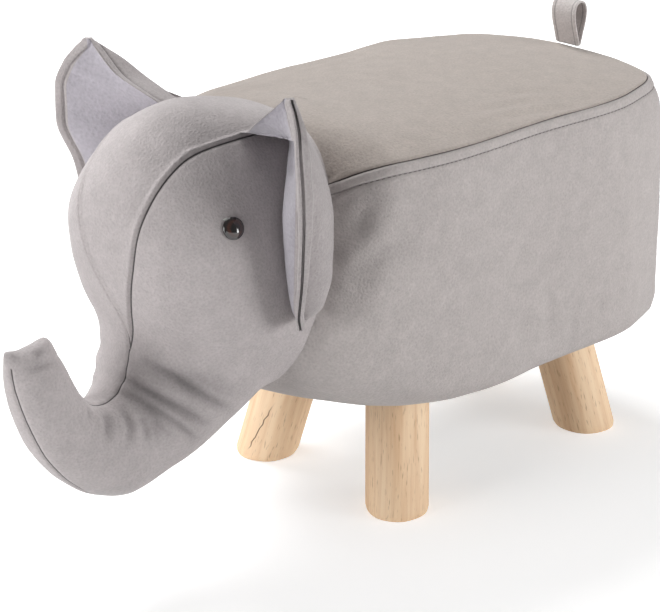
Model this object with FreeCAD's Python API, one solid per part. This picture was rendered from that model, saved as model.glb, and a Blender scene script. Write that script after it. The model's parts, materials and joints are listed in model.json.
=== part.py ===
"""Stuffed elephant footstool: an upholstered seat on four splayed round legs, with a head, trunk, ears and tail.

Lengths are millimetres. Z is up, the floor is Z = 0 and the head points towards -X. The origin lies on the
floor under the middle of the whole object. Left is the elephant's own left, towards -Y.
"""
import FreeCAD
import Part
import math
import os

os.makedirs("parts", exist_ok=True)
Vec = FreeCAD.Vector

# General clearances, the cloth of the cover, and the overrun that all cuts share
OVERRUN = 30.0
SOFT_GAP = 0.4
SEAT_GAP = 0.3
COVER = 1.5
LEAST_WALL = 0.5

# Seat body: rises from the bottom to the seam, then crowns
SEAT_BOTTOM = 96.0
SEAM_HEIGHT = 298.0
SEAT_REAR = 303.0
SEAT_LENGTH = 453.0
SEAT_HALF_WIDTH = 122.5
CROWN_RISE = 12.0
# each level: share of the rise to the seam, rear inset and front reach as shares of the length, width share
SEAT_LEVEL_SHARES = (
    (0.00, 0.0300, 0.775, 0.920),
    (0.02, 0.0170, 0.803, 0.962),
    (0.06, 0.0080, 0.845, 0.987),
    (0.15, 0.0030, 0.920, 0.998),
    (0.33, 0.0005, 0.985, 1.005),
    (0.58, 0.0000, 1.000, 1.003),
    (0.80, 0.0060, 0.991, 0.995),
    (0.93, 0.0210, 0.967, 0.977),
    (1.00, 0.0440, 0.934, 0.955),
)
# half of the egg-shaped plan, from the rear round to the front: share of its length, share of its half width
PLAN_SHARES = (
    (0.000, 0.00),
    (0.008, 0.42),
    (0.052, 0.82),
    (0.163, 0.985),
    (0.430, 1.00),
    (0.710, 0.985),
    (0.810, 0.91),
    (0.880, 0.78),
    (1.000, 0.00),
)
# stations of the crown: place along the seat length, half width share and rise share
CROWN_SHARES = (
    (0.0440, 0.400, 0.08),
    (0.0700, 0.690, 0.25),
    (0.1150, 0.870, 0.45),
    (0.1900, 0.950, 0.65),
    (0.4200, 0.960, 0.95),
    (0.6000, 0.955, 1.25),
    (0.6800, 0.945, 1.50),
    (0.7570, 0.870, 1.80),
    (0.8160, 0.760, 2.05),
    (0.8500, 0.690, 2.30),
)

# Legs: round sticks, sawn level at the foot and at the top
LEG_CENTRE_INSET = 185.0
LEG_CENTRE_X = SEAT_REAR - LEG_CENTRE_INSET
LEG_SPREAD_X = 112.2
LEG_SPREAD_Y = 73.4
LEG_RADIUS = 24.5
LEG_LEAN_SHARE = 0.195
LEG_FOOT_BEVEL = 1.5

# Box frame of plywood and pine inside the seat
BOARD_INSET = 8.0
BASE_THICKNESS = 15.0
DECK_THICKNESS = 12.0
SEAT_PAD_DEPTH = 41.0
DECK_TOP = SEAM_HEIGHT - SEAT_PAD_DEPTH
RAIL_THICKNESS = 15.0
RAIL_REAR_INSET = 41.0
RAIL_SPAN = 224.0
RAIL_REAR = SEAT_REAR - RAIL_REAR_INSET
RAIL_FRONT = RAIL_REAR - RAIL_SPAN
RAIL_HALF_WIDTH = 88.0
HEM_WIDTH = 15.0

# Fasteners
BOLT_RADIUS = 4.0
BOLT_WOOD_LENGTH = 40.0
NUT_BARREL_RADIUS = 5.0
NUT_FLANGE_RADIUS = 10.0
NUT_FLANGE = 1.5
SCREW_RADIUS = 2.0
SCREW_HEAD_RADIUS = 4.0
SCREW_HEAD_DEPTH = 2.5
SCREW_LENGTH = 40.0
SCREW_END_DISTANCE = 35.0
DUST_COVER = 0.6
LEG_HOLE_GAP = 3.0
STAPLE_COUNT_PER_SIDE = 4
STAPLE_WIDTH = 10.0
STAPLE_WIRE = 0.8
STAPLE_DEPTH = 6.0
STAPLE_EDGE = 5.0

# Neck: the sloping plane where the head is sewn to the seat, placed along the seat's length
NECK_TOP_SHARE = 0.7969
NECK_BOTTOM_SHARE = 0.9073
NECK_RISE = 22.0
NECK_DROP = 24.0
NECK_TOP = Vec(SEAT_REAR - SEAT_LENGTH * NECK_TOP_SHARE, 0, SEAM_HEIGHT + NECK_RISE)
NECK_BOTTOM = Vec(SEAT_REAR - SEAT_LENGTH * NECK_BOTTOM_SHARE, 0, SEAT_BOTTOM + NECK_DROP)

# Head: rings from the neck forward. Each ring stands on its lowest point and reaches its highest point.
HEAD_HALF_WIDTH = 87.0
HEAD_DEPTH = 153.0
HEAD_CROWN = 21.0
HEAD_FRONT = NECK_TOP.x - HEAD_DEPTH
HEAD_TOP = NECK_TOP.z + HEAD_CROWN
HEAD_BELLY_SHARE = 0.5
HEAD_POWER_SHARE = 2.5
# each ring after the neck: top and bottom as shares of head depth and height, width share, belly share
HEAD_RING_SHARES = (
    ((0.24, 0.965), (0.35, 0.02), 1.00, 0.50),
    ((0.47, 1.000), (0.47, 0.02), 0.99, 0.52),
    ((0.68, 0.985), (0.62, 0.07), 0.94, 0.55),
    ((0.85, 0.910), (0.78, 0.17), 0.82, 0.57),
    ((0.955, 0.81), (0.91, 0.32), 0.62, 0.57),
    ((0.995, 0.72), (0.98, 0.48), 0.36, 0.55),
    ((1.000, 0.63), (1.00, 0.57), 0.10, 0.50),
)

# Trunk: rings from inside the head, down, forward and up to the tip
TRUNK_ROOT_INSET = 34.0
TRUNK_ROOT_RISE = 120.0
TRUNK_REACH = 212.0
TRUNK_FALL = 180.0
TRUNK_ROOT_HALF_WIDTH = 74.0
TRUNK_ROOT_X = NECK_TOP.x - TRUNK_ROOT_INSET
TRUNK_LOWEST = NECK_BOTTOM.z + TRUNK_ROOT_RISE - TRUNK_FALL
TRUNK_BELLY_SHARE = 0.46
TRUNK_POWER_SHARE = 2.1
# each ring: inner point and outer point as shares of the trunk's reach and height, width share
TRUNK_RING_SHARES = (
    ((0.020, 0.970), (0.090, 0.360), 1.00),
    ((0.200, 0.980), (0.200, 0.235), 0.93),
    ((0.380, 0.900), (0.325, 0.115), 0.77),
    ((0.475, 0.730), (0.450, 0.048), 0.59),
    ((0.515, 0.545), (0.580, 0.020), 0.49),
    ((0.580, 0.455), (0.700, 0.075), 0.42),
    ((0.655, 0.455), (0.805, 0.180), 0.36),
    ((0.705, 0.515), (0.885, 0.305), 0.33),
    ((0.743, 0.595), (0.943, 0.450), 0.30),
    ((0.775, 0.685), (0.980, 0.605), 0.25),
    ((0.803, 0.765), (1.000, 0.775), 0.09),
)

# Gusset over the forehead, drawn in the front view: shares of its height and half width from its tip
GUSSET_LENGTH = 168.0
GUSSET_HALF_WIDTH = 64.0
GUSSET_REACH = 14.0
GUSSET_SHARES = (
    (0.00, 0.00),
    (0.25, 0.23),
    (0.50, 0.44),
    (0.72, 0.58),
    (0.88, 0.78),
    (1.05, 1.00),
    (1.20, 1.10),
)

# Eyes: domes on stems, locked by washers inside the cover
EYE_SETBACK = 46.0
EYE_DROP = 68.0
EYE_RADIUS = 8.0
EYE_RISE = 4.5
EYE_STEM_RADIUS = 2.2
EYE_STEM_LENGTH = 12.0
WASHER_RADIUS = 7.0
WASHER_THICKNESS = 1.2
WASHER_DEPTH = 4.0

# Ears: puffed leaves. Places are shares of the reach forward and outward from the rear corner of the root.
EAR_HEIGHT = 172.5
EAR_STAND = 23.5
EAR_REAR_INSET = 36.0
EAR_OVERHANG = 27.0
EAR_TOP = HEAD_TOP + EAR_STAND
EAR_BOTTOM = EAR_TOP - EAR_HEIGHT
EAR_REAR = NECK_TOP.x - EAR_REAR_INSET
EAR_INNER = HEAD_HALF_WIDTH - EAR_OVERHANG
EAR_FORWARD = 50.0
EAR_OUTWARD = 74.0
EAR_PUFF = 16.5
EAR_HEM = 3.0
EAR_HEM_WIDTH = 8.0
# each level: height share, hem edge, front root, rear root, front and rear puff shares
EAR_LEVEL_SHARES = (
    (0.00, (0.24, 0.62), (0.22, 0.51), (0.15, 0.54), 0.10, 0.10),
    (0.08, (0.42, 0.71), (0.28, 0.50), (0.15, 0.52), 0.35, 0.40),
    (0.25, (0.64, 0.82), (0.38, 0.48), (0.15, 0.48), 0.75, 0.90),
    (0.45, (0.80, 0.91), (0.50, 0.45), (0.17, 0.44), 0.80, 1.00),
    (0.63, (1.00, 1.00), (0.64, 0.35), (0.15, 0.36), 0.60, 0.85),
    (0.79, (1.02, 0.97), (0.72, 0.10), (0.02, 0.10), 0.35, 0.70),
    (0.89, (0.97, 0.87), (0.78, 0.31), (0.38, 0.32), 0.25, 0.45),
    (0.96, (0.90, 0.74), (0.81, 0.50), (0.66, 0.51), 0.15, 0.28),
    (1.00, (0.85, 0.66), (0.83, 0.57), (0.77, 0.60), 0.10, 0.10),
)
# places along each face, from hem to root
EAR_FACE_SHARES = (0.0, 0.12, 0.25, 0.5, 0.75, 0.88, 1.0)
# The sewn strip along the root that the ear swings on
HINGE_LOW_FORWARD = 9.0
HINGE_LOW_OUTWARD = 34.0
HINGE_LOW_RISE = 23.0
HINGE_HIGH_FORWARD = 15.0
HINGE_HIGH_OUTWARD = 20.0
HINGE_HIGH_RISE = 113.0
HINGE_LOW = Vec(EAR_REAR - HINGE_LOW_FORWARD, -EAR_INNER - HINGE_LOW_OUTWARD, EAR_BOTTOM + HINGE_LOW_RISE)
HINGE_HIGH = Vec(EAR_REAR - HINGE_HIGH_FORWARD, -EAR_INNER - HINGE_HIGH_OUTWARD, EAR_BOTTOM + HINGE_HIGH_RISE)
STRIP_REACH = 20.0
STRIP_TURN_SHARE = 0.70

# Tail: a doubled strap sewn into the rear seam as an upright loop
TAIL_INSET = 24.0
TAIL_HEIGHT = 37.0
TAIL_WIDTH = 25.0
TAIL_DEPTH = 16.0
STRAP = 2.0


def unit(vector):
    """The vector at length one."""
    return vector / vector.Length


def arc(first, middle, last):
    """The arc edge through three points."""
    return Part.Arc(first, middle, last).toShape()


def line(first, last):
    """The straight edge between two points."""
    return Part.LineSegment(first, last).toShape()


def polygon(points):
    """The flat face with these corners."""
    return Part.Face(Part.makePolygon(points + points[:1]))


def between(first, last, share):
    """The point a share of the way from the first to the last."""
    return first + (last - first) * share


def towards(first, last, distance):
    """The point at a distance from the first on the way to the last."""
    return first + unit(last - first) * distance


def mirrored(shape):
    """The shape on the other side of the middle plane."""
    return shape.mirror(Vec(0, 0, 0), Vec(0, 1, 0))


def smooth(rings):
    """A solid through rings of sixteen points, each ring eight arcs."""
    wires = []
    for ring in rings:
        ring = ring + ring[:1]
        wires.append(Part.Wire([arc(*ring[i:i + 3]) for i in range(0, len(ring) - 1, 2)]))
    return Part.makeLoft(wires, True, True)


def faceted(rings):
    """A solid of triangles through rings of points, for surfaces that stay hidden."""
    faces = [polygon(rings[0]), polygon(rings[-1])]
    for low, high in zip(rings, rings[1:]):
        for i in range(len(low)):
            faces.append(polygon([low[i - 1], low[i], high[i]]))
            faces.append(polygon([low[i - 1], high[i], high[i - 1]]))
    solid = Part.Solid(Part.Shell(faces))
    return solid if solid.Volume > 0 else solid.reversed()


def joined(shapes):
    """One shape out of several that meet."""
    return shapes[0].fuse(shapes[1:])


def less(shape, tools):
    """The shape with several others cut out of it."""
    for tool in tools:
        shape = shape.cut(tool)
    return shape


def block(low_x, high_x, half_width, low_z, high_z):
    """A square block across the middle plane."""
    size = (high_x - low_x, half_width * 2, high_z - low_z)
    return Part.makeBox(*size, Vec(low_x, -half_width, low_z))


def slab(low_z, high_z):
    """A level block wider than the object."""
    return block(-SEAT_LENGTH, SEAT_LENGTH, SEAT_LENGTH, low_z, high_z)


def upright(x, y, low, high, radius):
    """A vertical round bar between two heights."""
    return Part.makeCylinder(radius, high - low, Vec(x, y, low))


def corners(x, y):
    """The four places at plus and minus x and y from the middle of the legs."""
    return [(LEG_CENTRE_X + end * x, side * y) for end in (-1, 1) for side in (-1, 1)]


def swollen_ring(low, high, half_width, belly_share, power_share, shrink):
    """Sixteen points of a full oval in the plane of Y and the line from low to high, drawn in by shrink."""
    up = unit(high - low)
    low = low + up * shrink
    high = high - up * shrink
    middle = between(low, high, belly_share)
    rise = (high - middle).Length
    fall = (middle - low).Length
    width = half_width - shrink

    def point(step):
        turn = math.pi * step / 8
        across, along = math.cos(turn), math.sin(turn)
        out = math.copysign(abs(across) ** (2 / power_share), across) * width
        lift = math.copysign(abs(along) ** (2 / power_share), along) * (rise if along > 0 else fall)
        return middle + Vec(0, out, 0) + up * lift

    return [point(step) for step in range(-1, 15)]


def seat_ring(height, inset):
    """Sixteen points of the egg-shaped plan of the seat at a height up to the seam, drawn in by inset."""
    share = (height - SEAT_BOTTOM) / (SEAM_HEIGHT - SEAT_BOTTOM)
    for below, above in zip(SEAT_LEVEL_SHARES, SEAT_LEVEL_SHARES[1:]):
        if share <= above[0]:
            break
    part = (share - below[0]) / (above[0] - below[0])
    rear_inset, front_reach, width = (low + (high - low) * part for low, high in zip(below[1:], above[1:]))
    rear = SEAT_REAR - rear_inset * SEAT_LENGTH - inset
    front = SEAT_REAR - front_reach * SEAT_LENGTH + inset
    half_width = width * SEAT_HALF_WIDTH - inset
    left = [Vec(rear + (front - rear) * x, -half_width * y, height) for x, y in PLAN_SHARES]
    right = [Vec(point.x, -point.y, point.z) for point in left[1:-1]]
    return right[:1] + left + right[:0:-1]


def seat_plan(height, inset, rise):
    """The space inside the plan of the seat at a height, for a rise above it."""
    ring = seat_ring(height, inset)
    ring = ring + ring[:1]
    return Part.Face(Part.Wire([arc(*ring[i:i + 3]) for i in range(0, 16, 2)])).extrude(Vec(0, 0, rise))


def seat_side(inset, form):
    """The seat from its bottom to the seam, drawn in by inset."""
    rise = SEAM_HEIGHT - SEAT_BOTTOM
    return form([seat_ring(SEAT_BOTTOM + level[0] * rise, inset) for level in SEAT_LEVEL_SHARES])


def seat_crown(inset):
    """The crowned top above the seam, which climbs to the neck, drawn in by inset."""
    rings = []
    for place, width, rise in CROWN_SHARES:
        x = SEAT_REAR - place * SEAT_LENGTH
        half_width = width * SEAT_HALF_WIDTH - inset
        height = max(rise * CROWN_RISE - inset, LEAST_WALL)
        ends = (Vec(x, -half_width, SEAM_HEIGHT), Vec(x, half_width, SEAM_HEIGHT))
        crest = Vec(x, 0, SEAM_HEIGHT + height)
        rings.append(Part.Wire([line(ends[1], ends[0]), arc(ends[0], crest, ends[1])]))
    return Part.makeLoft(rings, True, True).common(seat_plan(SEAM_HEIGHT, inset, CROWN_RISE * 4))


def neck_ahead():
    """The direction square to the neck plane, towards the head."""
    return unit(Vec(0, 1, 0).cross(NECK_TOP - NECK_BOTTOM)) * -1


def neck_block(back):
    """Everything in front of the sloping neck plane, or of a plane that lies back from it."""
    up = unit(NECK_TOP - NECK_BOTTOM)
    set_back = neck_ahead() * -back
    low = NECK_BOTTOM - up * SEAT_LENGTH + set_back
    high = NECK_TOP + up * SEAT_LENGTH + set_back
    across = Vec(0, SEAT_LENGTH, 0)
    return polygon([low - across, low + across, high + across, high - across]).extrude(neck_ahead() * SEAT_LENGTH)


def oval_form(spans, half_width, power_share, shrink, form):
    """A form through ovals, each from a low to a high point, whose last oval is drawn back by shrink."""
    if shrink:
        before, end = spans[-2:]
        spans[-1] = (towards(end[0], before[0], shrink), towards(end[1], before[1], shrink)) + end[2:]
    return form([swollen_ring(low, high, half_width * width, belly, power_share, shrink)
                 for low, high, width, belly in spans])


def head_form(shrink, back, form):
    """The head from the neck plane to the face, drawn in by shrink and carried back past the neck."""
    height = HEAD_TOP - NECK_BOTTOM.z
    set_back = neck_ahead() * -back
    spans = [(NECK_BOTTOM + set_back, NECK_TOP + set_back, 1, HEAD_BELLY_SHARE)]
    for high, low, width, belly in HEAD_RING_SHARES:
        ends = [Vec(NECK_TOP.x - HEAD_DEPTH * x, 0, NECK_BOTTOM.z + height * z) for x, z in (low, high)]
        spans.append((*ends, width, belly))
    return oval_form(spans, HEAD_HALF_WIDTH, HEAD_POWER_SHARE, shrink, form)


def trunk_form(shrink, form):
    """The trunk from inside the head down, forward and up to its tip, drawn in by shrink."""
    spans = []
    for inner, outer, width in TRUNK_RING_SHARES:
        ends = [Vec(TRUNK_ROOT_X - TRUNK_REACH * x, 0, TRUNK_LOWEST + TRUNK_FALL * z) for x, z in (outer, inner)]
        spans.append((*ends, width, TRUNK_BELLY_SHARE))
    return oval_form(spans, TRUNK_ROOT_HALF_WIDTH, TRUNK_POWER_SHARE, shrink, form)


def gusset_prism():
    """A prism along X over the shield-shaped front view of the forehead gusset."""
    tip = HEAD_TOP - GUSSET_LENGTH
    left = [Vec(OVERRUN, -GUSSET_HALF_WIDTH * out, tip + GUSSET_LENGTH * up) for up, out in GUSSET_SHARES]
    right = [Vec(point.x, -point.y, point.z) for point in left]
    edges = [arc(*left[i:i + 3]) for i in (0, 2, 4)]
    edges.append(line(left[-1], right[-1]))
    edges += [arc(right[i + 2], right[i + 1], right[i]) for i in (4, 2, 0)]
    return Part.Face(Part.Wire(edges)).extrude(Vec(HEAD_FRONT - GUSSET_REACH - OVERRUN, 0, 0))


def bolt_places():
    """Where the legs' axes meet the underside of the base board."""
    inward = LEG_LEAN_SHARE * (SEAT_BOTTOM + COVER)
    return corners(LEG_SPREAD_X - inward, LEG_SPREAD_Y - inward)


def legs():
    """Four round sticks that lean outwards, level at foot and top, each with a bore for its bolt."""
    top = SEAT_BOTTOM + COVER
    sticks = []
    for (x, y), (bolt_x, bolt_y) in zip(corners(LEG_SPREAD_X, LEG_SPREAD_Y), bolt_places()):
        foot = Vec(x, y, 0)
        along = Vec(bolt_x, bolt_y, top) - foot
        extra = unit(along) * OVERRUN
        length = (along + extra * 2).Length
        stick = Part.makeCylinder(LEG_RADIUS, length, foot - extra, along).common(slab(0, top))
        rim = [edge for edge in stick.Edges if edge.BoundBox.ZMax < LEG_FOOT_BEVEL]
        stick = stick.makeChamfer(LEG_FOOT_BEVEL, rim)
        sticks.append(stick.cut(upright(bolt_x, bolt_y, top - BOLT_WOOD_LENGTH, top + OVERRUN, BOLT_RADIUS)))
    return sticks


def hanger_bolts():
    """One bolt per leg, from the wood of the leg to the top of its nut."""
    top = SEAT_BOTTOM + COVER
    return [upright(x, y, top - BOLT_WOOD_LENGTH, top + BASE_THICKNESS + NUT_FLANGE, BOLT_RADIUS)
            for x, y in bolt_places()]


def t_nuts():
    """The outer shapes of the flanged nuts, pressed into the base board from above."""
    low = SEAT_BOTTOM + COVER
    high = low + BASE_THICKNESS
    return [upright(x, y, low, high, NUT_BARREL_RADIUS).fuse(
        upright(x, y, high, high + NUT_FLANGE, NUT_FLANGE_RADIUS)) for x, y in bolt_places()]


def frame_prism(low, high):
    """The space inside the outline that both boards share, between two heights."""
    prism = seat_plan(SEAT_BOTTOM, BOARD_INSET, high - low)
    prism.translate(Vec(0, 0, low - SEAT_BOTTOM))
    return prism


def rails():
    """The rear, front, left and right boards of the box between base and deck."""
    low = SEAT_BOTTOM + COVER + BASE_THICKNESS
    high = DECK_TOP - DECK_THICKNESS
    rear = block(RAIL_REAR - RAIL_THICKNESS, RAIL_REAR, RAIL_HALF_WIDTH, low, high)
    front = block(RAIL_FRONT, RAIL_FRONT + RAIL_THICKNESS, RAIL_HALF_WIDTH, low, high)
    length = RAIL_REAR - RAIL_FRONT - RAIL_THICKNESS * 2
    corner = Vec(RAIL_FRONT + RAIL_THICKNESS, RAIL_HALF_WIDTH - RAIL_THICKNESS, low)
    right = Part.makeBox(length, RAIL_THICKNESS, high - low, corner)
    return rear, front, mirrored(right), right


def screw(x, y, seat, point):
    """A screw whose flat head is level with seat and which points up or down."""
    way = Vec(0, 0, point)
    start = Vec(x, y, seat)
    head = Part.makeCylinder(SCREW_HEAD_RADIUS, SCREW_HEAD_DEPTH, start, way)
    return head.fuse(Part.makeCylinder(SCREW_RADIUS, SCREW_LENGTH, start, way))


def frame_screws():
    """Screws up through the base and down through the deck, two into each side rail."""
    middle = RAIL_HALF_WIDTH - RAIL_THICKNESS / 2
    ends = (RAIL_FRONT + SCREW_END_DISTANCE, RAIL_REAR - SCREW_END_DISTANCE)
    places = [(x, y) for x in ends for y in (-middle, middle)]
    upward = [screw(x, y, SEAT_BOTTOM + COVER, 1) for x, y in places]
    return upward + [screw(x, y, DECK_TOP, -1) for x, y in places]


def leg_holes():
    """Round clearances for the legs through the cloth under the seat."""
    radius = LEG_RADIUS + LEG_HOLE_GAP
    return [upright(x, y, SEAT_BOTTOM - OVERRUN, SEAT_BOTTOM + COVER, radius) for x, y in bolt_places()]


def staples():
    """Wire staples along both long edges of the dust cover."""
    side = SEAT_LEVEL_SHARES[0][3] * SEAT_HALF_WIDTH - BOARD_INSET - STAPLE_EDGE
    step = (RAIL_REAR - RAIL_FRONT) / (STAPLE_COUNT_PER_SIDE + 1)
    low = SEAT_BOTTOM - DUST_COVER - STAPLE_WIRE
    wires = []
    for count in range(1, STAPLE_COUNT_PER_SIDE + 1):
        x = RAIL_FRONT + step * count - STAPLE_WIDTH / 2
        far = x + STAPLE_WIDTH - STAPLE_WIRE
        wire = [Part.makeBox(STAPLE_WIDTH, STAPLE_WIRE, STAPLE_WIRE, Vec(x, side, low))]
        wire += [Part.makeBox(STAPLE_WIRE, STAPLE_WIRE, STAPLE_DEPTH, Vec(end, side, low)) for end in (x, far)]
        wire = joined(wire).removeSplitter()
        wires += [wire, mirrored(wire)]
    return wires


def eye_seat(head):
    """Where the left eye's stem leaves the head, and the direction square to the cheek there."""
    middle = Vec(HEAD_FRONT + EYE_SETBACK, 0, HEAD_TOP - EYE_DROP)
    ray = line(middle, middle + Vec(0, -HEAD_HALF_WIDTH * 2, 0))
    crossing = min(head.common(ray).Vertexes, key=lambda vertex: vertex.Y)
    cheek = min(head.Faces, key=lambda face: face.distToShape(crossing)[0])
    outward = cheek.normalAt(*cheek.Surface.parameter(crossing.Point))
    return crossing.Point, unit(outward) * (-1 if outward.y > 0 else 1)


def left_eye(seat, outward):
    """A dome on a stem that passes through the cover."""
    ball_radius = (EYE_RADIUS ** 2 + EYE_RISE ** 2) / (EYE_RISE * 2)
    seat = seat + outward * SEAT_GAP
    ball = Part.makeSphere(ball_radius, seat + outward * (EYE_RISE - ball_radius))
    dome = ball.common(Part.makeCylinder(ball_radius, OVERRUN, seat, outward))
    return dome.fuse(Part.makeCylinder(EYE_STEM_RADIUS, EYE_STEM_LENGTH, seat, outward * -1))


def left_eye_hole(seat, outward, clearance):
    """The hole that the stem and its washer need, with a clearance all round, or the washer's own outer shape."""
    start = seat - outward * (WASHER_DEPTH - clearance)
    return Part.makeCylinder(WASHER_RADIUS + clearance, WASHER_THICKNESS + clearance * 2, start, outward * -1)


def left_stem_bore(seat, outward, clearance):
    """The hole for the stem, from outside the cover to past the stem's end."""
    start = seat + outward * OVERRUN
    length = OVERRUN + EYE_STEM_LENGTH + clearance
    return Part.makeCylinder(EYE_STEM_RADIUS + clearance, length, start, outward * -1)


def ear_point(shares, height):
    """A place of the left ear from its forward and outward shares."""
    return Vec(EAR_REAR - EAR_FORWARD * shares[0], -EAR_INNER - EAR_OUTWARD * shares[1], height)


def ear_section(level, front, depth, hem_inset, root_inset):
    """Hem point, root point and swell of one face of the left ear at a level, at a depth under its outside."""
    up, hem, front_root, rear_root, front_puff, rear_puff = level
    height = EAR_BOTTOM + (EAR_TOP - EAR_BOTTOM) * up
    edge = ear_point(hem, height)
    roots = [ear_point(front_root, height), ear_point(rear_root, height)]
    inward = unit(between(*roots, 0.5) - edge)
    way = Vec(-inward.y, inward.x, 0) * (1 if front else -1)
    root, other = roots if front else roots[::-1]
    root = towards(root, other, min(depth, (other - root).Length / 3)) - inward * root_inset
    start = edge + inward * hem_inset + way * max(EAR_HEM / 2 - depth, LEAST_WALL / 2)
    swell = max(EAR_PUFF * (front_puff if front else rear_puff) - depth, LEAST_WALL)
    return start, root, way * swell


def ear_curve(start, root, swell):
    """Points along the swollen section of one face, from hem to root."""
    return [between(start, root, share) + swell * 4 * share * (1 - share) for share in EAR_FACE_SHARES]


def ear_half(front):
    """The front or rear half of the left ear, from its hem to its root."""
    rings = []
    for level in EAR_LEVEL_SHARES:
        start, root, swell = ear_section(level, front, 0, 0, 0)
        back_start, back_root, _ = ear_section(level, not front, 0, 0, 0)
        middle = [between(root, back_root, 0.5), between(start, back_start, 0.5)]
        rings.append(ear_curve(start, root, swell) + middle)
    return faceted(rings)


def ear_core(depth):
    """The inside of the left ear at a depth under its cloth, short of the stitched hem."""
    rings = []
    for level in EAR_LEVEL_SHARES[1:-1]:
        front, rear = (ear_curve(*ear_section(level, side, depth, EAR_HEM_WIDTH, depth)) for side in (True, False))
        rings.append(front + rear[::-1])
    return faceted(rings)


def root_strip():
    """The strip of doubled cloth that joins the left ear's root to the head and bends as a hinge."""
    low, high = HINGE_LOW, HINGE_HIGH
    radius = EAR_HEM / 2
    flap = unit(Vec(-STRIP_TURN_SHARE, -1, 0))
    across = unit((high - low).cross(flap)) * radius
    flat = polygon([low - across, low + across, high + across, high - across]).extrude(flap * STRIP_REACH)
    return flat.fuse(Part.makeCylinder(radius, (high - low).Length, low, high - low))


def tail_profile(half_depth, wall):
    """The closed outline of the strap's outside, or with a wall of its inside, over its hinge line."""
    top = TAIL_HEIGHT - half_depth
    reach = half_depth - wall
    bend = reach * math.sqrt(0.5)
    edges = [
        arc(Vec(-reach, 0, top), Vec(-bend, 0, top + bend), Vec(0, 0, top + reach)),
        arc(Vec(0, 0, top + reach), Vec(bend, 0, top + bend), Vec(reach, 0, top)),
    ]
    if wall:
        foot = Vec(0, 0, STRAP * 3)
        return Part.Wire(edges + [line(Vec(reach, 0, top), foot), line(foot, Vec(-reach, 0, top))])
    turn = STRAP * math.sqrt(0.5)
    return Part.Wire(edges + [
        line(Vec(reach, 0, top), Vec(STRAP, 0, 0)),
        arc(Vec(STRAP, 0, 0), Vec(turn, 0, -turn), Vec(0, 0, -STRAP)),
        arc(Vec(0, 0, -STRAP), Vec(-turn, 0, -turn), Vec(-STRAP, 0, 0)),
        line(Vec(-STRAP, 0, 0), Vec(-reach, 0, top)),
    ])


def tail_loop():
    """The strap loop, with its hinge line through the origin."""
    across = Vec(0, TAIL_WIDTH, 0)
    outside = Part.Face(tail_profile(TAIL_DEPTH / 2, 0)).extrude(across)
    inside = Part.Face(tail_profile(TAIL_DEPTH / 2, STRAP)).extrude(across)
    loop = outside.cut(inside)
    loop.translate(across * -0.5)
    return loop


def save(node, shape):
    """Write one node."""
    if isinstance(shape, (list, tuple)):
        shape = Part.makeCompound(list(shape))
    shape.exportStep("parts/" + node + ".step")


def make_frame():
    """Legs, boards, rails and the fasteners that hold them."""
    top = SEAT_BOTTOM + COVER
    bolts, nuts, screws = hanger_bolts(), t_nuts(), frame_screws()
    names = ("leg_front_right", "leg_front_left", "leg_rear_right", "leg_rear_left")
    for name, leg in zip(("leg_front_left", "leg_front_right", "leg_rear_left", "leg_rear_right"), legs()):
        save(name, leg)
    save("hanger_bolts", bolts)
    save("t_nuts", [nut.cut(bolt) for nut, bolt in zip(nuts, bolts)])
    save("base_board", less(frame_prism(top, top + BASE_THICKNESS), nuts + screws))
    save("deck_board", less(frame_prism(DECK_TOP - DECK_THICKNESS, DECK_TOP), screws))
    for name, rail in zip(("rear_rail", "front_rail", "left_rail", "right_rail"), rails()):
        save(name, less(rail, screws))
    save("frame_screws", screws)
    save("dust_cover", less(frame_prism(SEAT_BOTTOM - DUST_COVER, SEAT_BOTTOM), leg_holes()))
    save("staples", staples())


def make_seat():
    """The seat's foam and cover. Returns the whole seat form."""
    ahead = neck_block(0)
    side = seat_side(0, smooth).cut(ahead)
    crown = seat_crown(0).cut(ahead)
    top = SEAT_BOTTOM + COVER
    hollow = seat_side(COVER, faceted).common(slab(top, SEAM_HEIGHT))
    mouth = seat_plan(SEAT_BOTTOM, BOARD_INSET + HEM_WIDTH, COVER)
    save("side_panel", less(side, [hollow, mouth] + leg_holes()))
    save("top_panel", crown.cut(seat_crown(COVER)))
    near = neck_block(SEAT_GAP)
    foam = seat_side(COVER + SOFT_GAP, faceted).cut(near)
    save("side_foam", foam.common(slab(top, DECK_TOP)).cut(frame_prism(top, DECK_TOP)))
    pad = foam.common(slab(DECK_TOP, SEAM_HEIGHT))
    save("seat_foam", pad.fuse(seat_crown(COVER + SOFT_GAP).cut(near)))
    return side.fuse(crown)


def make_head():
    """The head's cover panels, filling and eyes. Returns the whole head form."""
    head = head_form(0, 0, smooth)
    whole = head.fuse(trunk_form(0, smooth))
    seat, outward = eye_seat(head)
    cover = whole.cut(head_form(COVER, COVER, faceted).fuse(trunk_form(COVER, faceted)))
    bore = left_stem_bore(seat, outward, SOFT_GAP)
    cover = less(cover, [bore, mirrored(bore)])
    prism = gusset_prism()
    cheeks = cover.cut(prism)
    half = Part.makeBox(SEAT_LENGTH * 2, SEAT_LENGTH, SEAT_LENGTH, Vec(-SEAT_LENGTH, 0, 0))
    save("forehead_gusset", cover.common(prism))
    save("cheek_left", cheeks.cut(half))
    save("cheek_right", cheeks.common(half))
    filling = head_form(COVER + SOFT_GAP, COVER, faceted).common(neck_block(0))
    pocket = left_eye_hole(seat, outward, SOFT_GAP)
    save("head_filling", less(filling, [bore, mirrored(bore), pocket, mirrored(pocket)]))
    save("trunk_filling", trunk_form(COVER + SOFT_GAP, faceted).cut(filling))
    eye = left_eye(seat, outward)
    washer = left_eye_hole(seat, outward, 0).cut(left_stem_bore(seat, outward, 0))
    save("eye_left", eye)
    save("eye_right", mirrored(eye))
    save("eye_washers", [washer, mirrored(washer)])
    return whole


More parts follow.
